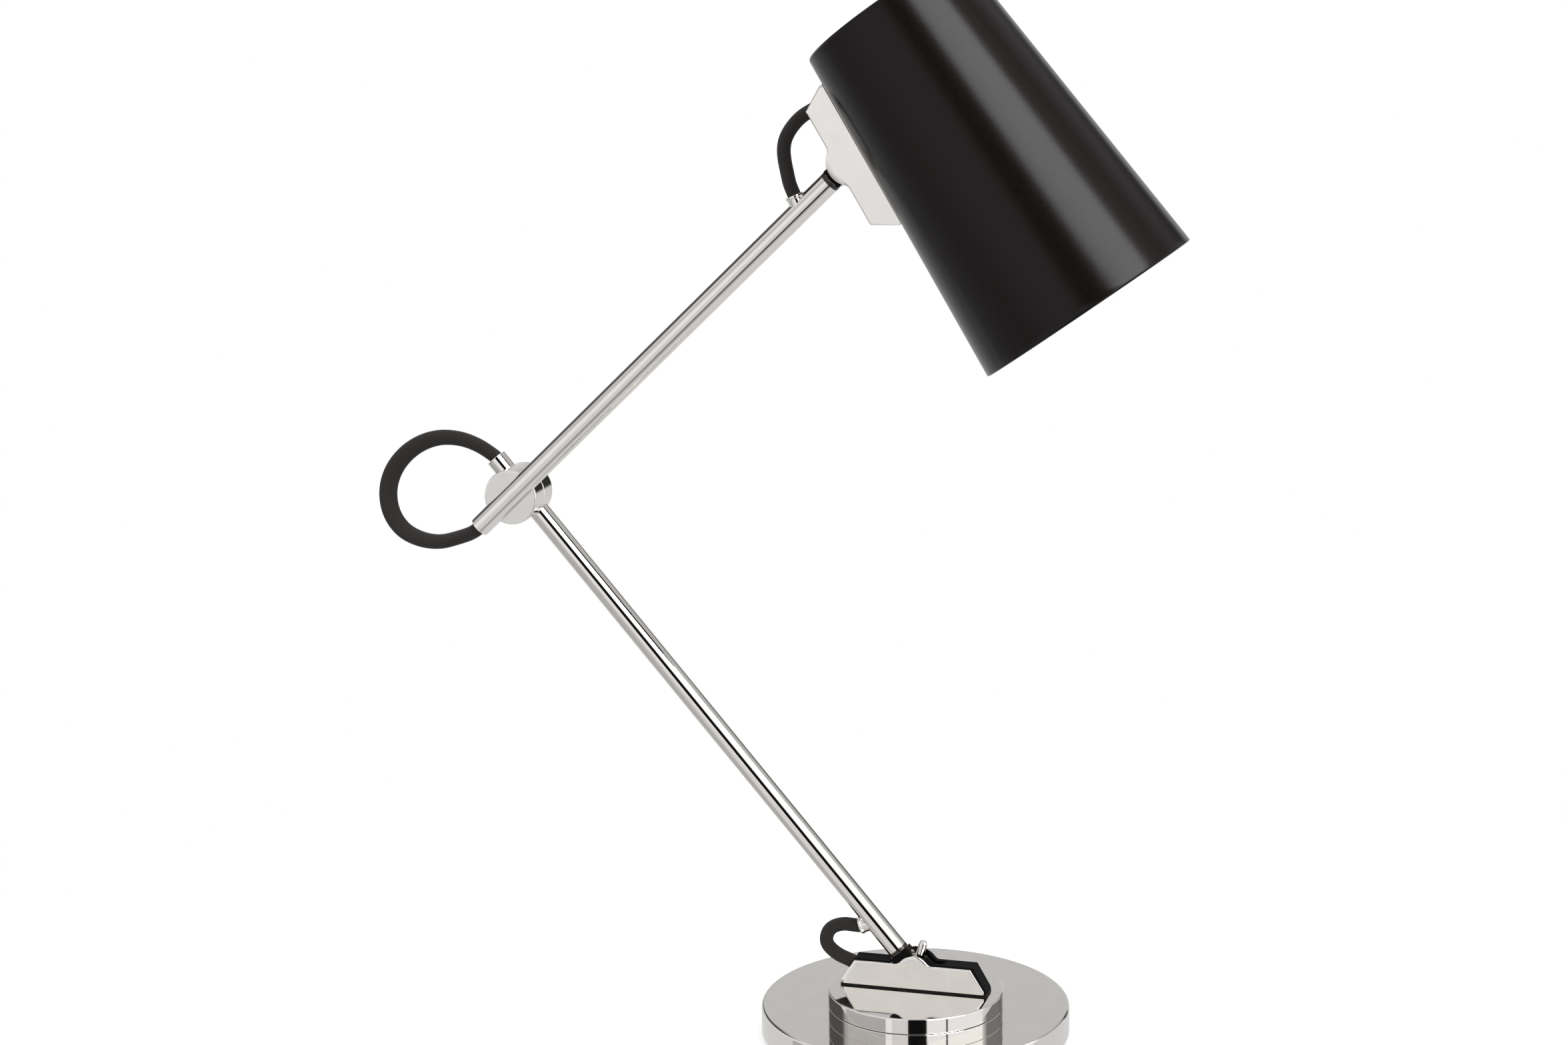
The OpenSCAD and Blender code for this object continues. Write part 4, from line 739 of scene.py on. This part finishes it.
boss("lower_boss", AT_LOWER, BOSS_AT_LOWER, 90 - BOSS_LEAN, ["lower_cord_boss"])
boss("upper_boss", AT_UPPER_HINGE, BOSS_AT_UPPER, -90 - BOSS_LEAN, ["upper_cord_boss"])

# Stop pin behind the base's hinge
stop_at = AT_LOWER @ turn_y(STOP_TURN) @ shift(0, CORE_MID, 0) @ ALONG_X
shank = [(0, STOP_FOOT), (STOP_R - 0.2, STOP_FOOT), (STOP_R, STOP_FOOT + 0.2), (STOP_R, STOP_FOOT + 0.2 + SUPPORT)]
dome = [(STOP_R * cos(a), STOP_REACH - STOP_R + STOP_R * sin(a)) for a in range(0, 90, 9)] + [(0, STOP_REACH)]
lathe("stop_pin", shank + dome, stop_at, [NICKEL], ["lower_stop_pin"], segs=48)

# ---- Elbow ----

def disc(name, place, thick, nodes):
    return lathe(name, rounded([(0, 0), (ELBOW_R, 0, 0.5), (ELBOW_R, thick, 0.9), (0, thick)], 8),
                 place, [NICKEL], nodes, segs=160)


disc("elbow_disc_back", AT_LOWER @ shift(LOWER_LEN, -ELBOW_T / 2, 0) @ TO_BACK, ELBOW_T, ["elbow_back_disc"])
disc("elbow_disc_front", AT_UPPER @ shift(0, UPPER_PROUD + ELBOW_T, 0) @ TO_FRONT, ELBOW_T,
     ["elbow_front_disc"])
finish_piece(hex_head("elbow_screw_head",
                      AT_UPPER @ shift(0, UPPER_PROUD + 2 * ELBOW_T + ELBOW_GAP + 0.1, 0) @ TO_BACK,
                      6.5, 2.6, 2.6), ["elbow_screw"])

# ---- Shade ----

INNER = SHADE_WALL / cos(TAPER)


def wall_r(z, less=0.0):
    return MOUTH_R - (MOUTH_R - TOP_R) * z / SHADE_LEN - less


hem = [(MOUTH_R - HEM_R - 0.05 + HEM_R * cos(a), HEM_R + HEM_R * sin(a)) for a in range(150, 391, 15)]
outer = rounded([(wall_r(4), 4), (wall_r(60), 60), (wall_r(120), 120), (TOP_R, SHADE_LEN, 1.7),
                 (0, SHADE_LEN)], 10)
lid_z = SHADE_LEN - SHADE_WALL
inner = rounded([(0, lid_z), (wall_r(lid_z, INNER), lid_z, 1.0), (wall_r(100, INNER), 100),
                 (wall_r(5, INNER), 5)], 6)


def inside(p, q):
    on_axis_side = min(p[0] - wall_r(p[1], INNER), q[0] - wall_r(q[1], INNER)) < 0.3
    return 1 if on_axis_side and p[1] < SHADE_LEN - 0.5 and q[1] < SHADE_LEN - 0.5 and p[1] > 4.0 else 0


shade = lathe("lamp_shade", outer + inner + hem, AT_SHADE, [BLACK_PAINT, SHADE_INSIDE], [], segs=256,
              closed=True, sharp=32, face_mat=inside, finish=False)
VENTS, VENT_R = 12, 2.5
vent_path = [(0, SHADE_LEN - 3), (VENT_R, SHADE_LEN - 3), (VENT_R, SHADE_LEN + 2), (0, SHADE_LEN + 2)]
vents = []
for i in range(VENTS):
    at = AT_SHADE @ Matrix.Rotation(2 * math.pi * i / VENTS, 4, "Z") @ shift(TOP_R * 0.55, 0, 0)
    vents.append(lathe(f"vent_{i}", vent_path, at, [BLACK_PAINT, SHADE_INSIDE], [], segs=32, finish=False))
finish_piece(subtract(shade, [join("vents", vents)]), ["shade"])

# ---- Lampholder and bulb ----

STRAP_Z = SHADE_LEN - 19.3
CAP_END = STRAP_Z - 26
SKIRT_END = CAP_END - 28
lathe("holder_top", rounded([(17.5, CAP_END + 0.1), (20, CAP_END + 0.1, 0.4), (20, CAP_END + 17, 1.5),
                             (12.5, CAP_END + 21.5, 2.0), (11, CAP_END + 26, 0.5), (5.1, CAP_END + 26)], 6),
      AT_SHADE, [BAKELITE], ["lampholder_cap"], segs=96)
skirt = [(14.4, SKIRT_END + 20)]
skirt += rounded([(14.4, SKIRT_END, 0.4), (19.4, SKIRT_END, 0.7), (20.5, SKIRT_END + 3, 0.8),
                  (20.5, SKIRT_END + 6)], 5)
for k in range(6):
    z = SKIRT_END + 7.5 + 2.6 * k
    skirt += [(20.5, z), (20.1, z + 0.4), (20.1, z + 1.0), (20.5, z + 1.4)]
skirt += rounded([(20.5, SKIRT_END + 24), (20.5, CAP_END - 0.1, 0.6), (17.5, CAP_END - 0.1)], 5)
lathe("holder_skirt", skirt, AT_SHADE, [BAKELITE], ["lampholder_skirt"], segs=96)
BULB_TOP = CAP_END - 7
NECK = BULB_TOP - 28.5
threads = [(12.75 + 0.5 * math.sin(2 * math.pi * k / 6), NECK + 2.5 + 0.6 * k) for k in range(33)]
contact = [(12.0, NECK + 23.2), (6.2, BULB_TOP - 2.6), (4.6, BULB_TOP - 1.0), (4.4, BULB_TOP), (0, BULB_TOP + 0.4)]
lathe("bulb_screw_cap", [(13.0, NECK), (13.0, NECK + 2)] + threads + contact,
      AT_SHADE, [BULB_METAL], ["bulb_cap"], segs=72)
BULB_R, BULB_MID = 30.0, NECK - 50.0
glass = [(0, BULB_MID - BULB_R)]
glass += [(BULB_R * cos(a), BULB_MID + BULB_R * sin(a)) for a in range(-85, 21, 5)]
x0, z0 = BULB_R * cos(20), BULB_MID + BULB_R * sin(20)
for k in range(1, 17):
    t = k / 17
    s = t * t * (3 - 2 * t)
    glass.append((x0 + (14.2 - x0) * s, z0 + (NECK - 5 - z0) * t))
glass += [(14.2, NECK - 3), (14.1, NECK - 0.5), (13.2, NECK + 0.5)]
lathe("bulb_envelope", glass, AT_SHADE, [BULB_GLASS], ["bulb_glass"], segs=128, sharp=60)

# ---- Studio ----

FLOOR_R, FLOOR_SIDES, FLOOR_Z = 0.60, 128, -0.0002      # metres


def studio():
    """Round pale floor; beyond it the world is white for the camera."""
    mesh = bpy.data.meshes.new("floor")
    n = FLOOR_SIDES
    mesh.from_pydata([(FLOOR_R * math.cos(2 * math.pi * k / n), FLOOR_R * math.sin(2 * math.pi * k / n), FLOOR_Z)
                      for k in range(n)], [], [tuple(range(n))])
    floor = bpy.data.objects.new("floor", mesh)
    bpy.context.scene.collection.objects.link(floor)
    mat = bpy.data.materials.new("floor")
    mat.use_nodes = True
    mat.node_tree.nodes.clear()
    path = node(mat, "ShaderNodeLightPath")
    # For the camera it is white with the lamp's soft shadow; reflections pass through it to the world's light
    diffuse = node(mat, "ShaderNodeBsdfDiffuse")
    diffuse.inputs[0].default_value = (0.74, 0.74, 0.74, 1)
    glow = node(mat, "ShaderNodeEmission")
    glow_level = node(mat, "ShaderNodeMath", operation="MULTIPLY")
    glow_level.inputs[1].default_value = 0.42
    link(mat, path.outputs["Is Camera Ray"], glow_level.inputs[0])
    link(mat, glow_level.outputs[0], glow.inputs["Strength"])
    pale = node(mat, "ShaderNodeAddShader")
    link(mat, diffuse.outputs[0], pale.inputs[0])
    link(mat, glow.outputs[0], pale.inputs[1])
    pick = node(mat, "ShaderNodeMixShader")
    link(mat, path.outputs["Is Glossy Ray"], pick.inputs[0])
    link(mat, pale.outputs[0], pick.inputs[1])
    link(mat, node(mat, "ShaderNodeBsdfTransparent").outputs[0], pick.inputs[2])
    link(mat, pick.outputs[0], node(mat, "ShaderNodeOutputMaterial").inputs[0])
    mesh.materials.append(mat)


studio()

world = bpy.data.worlds.new("world")
bpy.context.scene.world = world
world.use_nodes = True
wt = world.node_tree
wt.nodes.clear()


def wnode(kind, **props):
    n = wt.nodes.new(kind)
    for key, value in props.items():
        setattr(n, key, value)
    return n


def wmath(op, *values):
    m = wnode("ShaderNodeMath", operation=op)
    for i, v in enumerate(values):
        if isinstance(v, (int, float)):
            m.inputs[i].default_value = v
        else:
            wt.links.new(v, m.inputs[i])
    return m.outputs[0]


def wmix(factor, a, b):
    """a where the factor is 0, b where it is 1."""
    return wmath("ADD", wmath("MULTIPLY", a, wmath("SUBTRACT", 1.0, factor)), wmath("MULTIPLY", b, factor))


def edge(socket, low, high):
    """0 below low, 1 above high, smooth between."""
    r = wnode("ShaderNodeMapRange", interpolation_type="SMOOTHSTEP")
    r.inputs["From Min"].default_value = low
    r.inputs["From Max"].default_value = high
    wt.links.new(socket, r.inputs["Value"])
    return r.outputs[0]


def band(socket, low, high, soft):
    return wmath("MULTIPLY", edge(socket, low - soft, low + soft),
                 wmath("SUBTRACT", 1.0, edge(socket, high - soft, high + soft)))


coord = wnode("ShaderNodeTexCoord")
xyz = wnode("ShaderNodeSeparateXYZ")
wt.links.new(coord.outputs["Generated"], xyz.inputs[0])
X, Y, Z = xyz.outputs
azimuth = wmath("MULTIPLY", wmath("ARCTAN2", X, wmath("MULTIPLY", Y, -1.0)), 180 / math.pi)   # 0 is -Y, + is +X
elevation = wmath("MULTIPLY", wmath("ARCSINE", Z), 180 / math.pi)

far_side = wmath("ADD", edge(azimuth, 85, 125), wmath("SUBTRACT", 1.0, edge(azimuth, -140, -95)))
front = wmix(edge(elevation, -14, -3), 0.74, 0.97)
front = wmix(edge(elevation, 5, 30), front, 0.80)
back = wmix(edge(elevation, 8, 24), 0.72, 0.60)
back = wmix(edge(elevation, 40, 70), back, 0.9)
tone = wmix(far_side, front, back)

# The round plates see these two levels: the lower one themselves, the upper one by way of the base's top
plates_see = wmath("MAXIMUM", band(elevation, 14, 26, 3), band(elevation, -26, -17, 3))
lift = wmix(edge(elevation, -1, 1), 1.0, 1.28)
gap_tone = wmix(edge(elevation, -44, -32), 0.45, 0.006)

# Patches of the light, each over the ones before it: azimuths and elevations in degrees, low, high and soft edge
PATCHES = (
    ((-115, -42, 7), (-80, -26, 3), 0.50),                          # the left side, below
    ((-17.5, 6, 0.6), plates_see, wmath("MULTIPLY", lift, 0.745)),  # a panel in front
    ((-26, -17.5, 0.6), plates_see, wmath("MULTIPLY", lift, 0.95)),
    ((-90, -26.2, 0.6), plates_see, wmath("MULTIPLY", lift, 0.48)),  # the dimmer left side
    ((-150, -92, 9), (9, 36, 4), 0.1),                              # the dark far left
    ((118, 172, 4), (14, 26, 3), 0.24),                             # the dim far right
    ((29.5, 112, 2), (-12, 30, 4), 1.28),                           # the soft box: its lower part,
    ((27, 112, 1), (-26, -12, 3), 0.96),                            # its foot
    ((31, 84, 2), (29, 62, 3), 9.0),                                # and its bright top
    ((53.6, 56.2, 0.5), plates_see, 0.1),                           # a thin bar in it
    ((112, 127, 6), (30, 62, 6), 0.45),                             # the dim wall behind it
    ((152, 164, 2), (-3, 20, 3), 0.03),                             # a dark edge behind the lamp
    ((3.6, 28, 0.7), (-75, 60, 3), gap_tone),                       # the dark gap toward the front
)
for across, upward, patch_tone in PATCHES:
    if isinstance(upward, tuple):
        upward = band(elevation, *upward)
    tone = wmix(wmath("MULTIPLY", band(azimuth, *across), upward), tone, patch_tone)

light_path = wnode("ShaderNodeLightPath")
glossy = light_path.outputs["Is Glossy Ray"]
seen = wmath("MAXIMUM", light_path.outputs["Is Camera Ray"], light_path.outputs["Is Transmission Ray"])
strength = wmix(glossy, wmix(seen, 0.62, 1.0), tone)
background = wnode("ShaderNodeBackground")
background.inputs["Color"].default_value = (1, 1, 1, 1)
wt.links.new(strength, background.inputs["Strength"])
world_out = wnode("ShaderNodeOutputWorld")
wt.links.new(background.outputs[0], world_out.inputs[0])


def area_light(name, where, at, size, power):
    data = bpy.data.lights.new(name, "AREA")
    data.shape = "RECTANGLE"
    data.size, data.size_y = size
    data.energy = power
    obj = bpy.data.objects.new(name, data)
    bpy.context.scene.collection.objects.link(obj)
    obj.location = where
    obj.rotation_euler = (Vector(at) - Vector(where)).to_track_quat("-Z", "Y").to_euler()
    obj.visible_glossy = False
    return obj


area_light("key", (1.5, -0.9, 1.6), (0, 0, 0.25), (1.2, 1.2), 22)
area_light("fill", (-1.6, -1.0, 1.2), (0, 0, 0.25), (1.2, 1.2), 10)
area_light("top", (0, 0.2, 2.2), (0, 0, 0.2), (1.4, 1.4), 16)
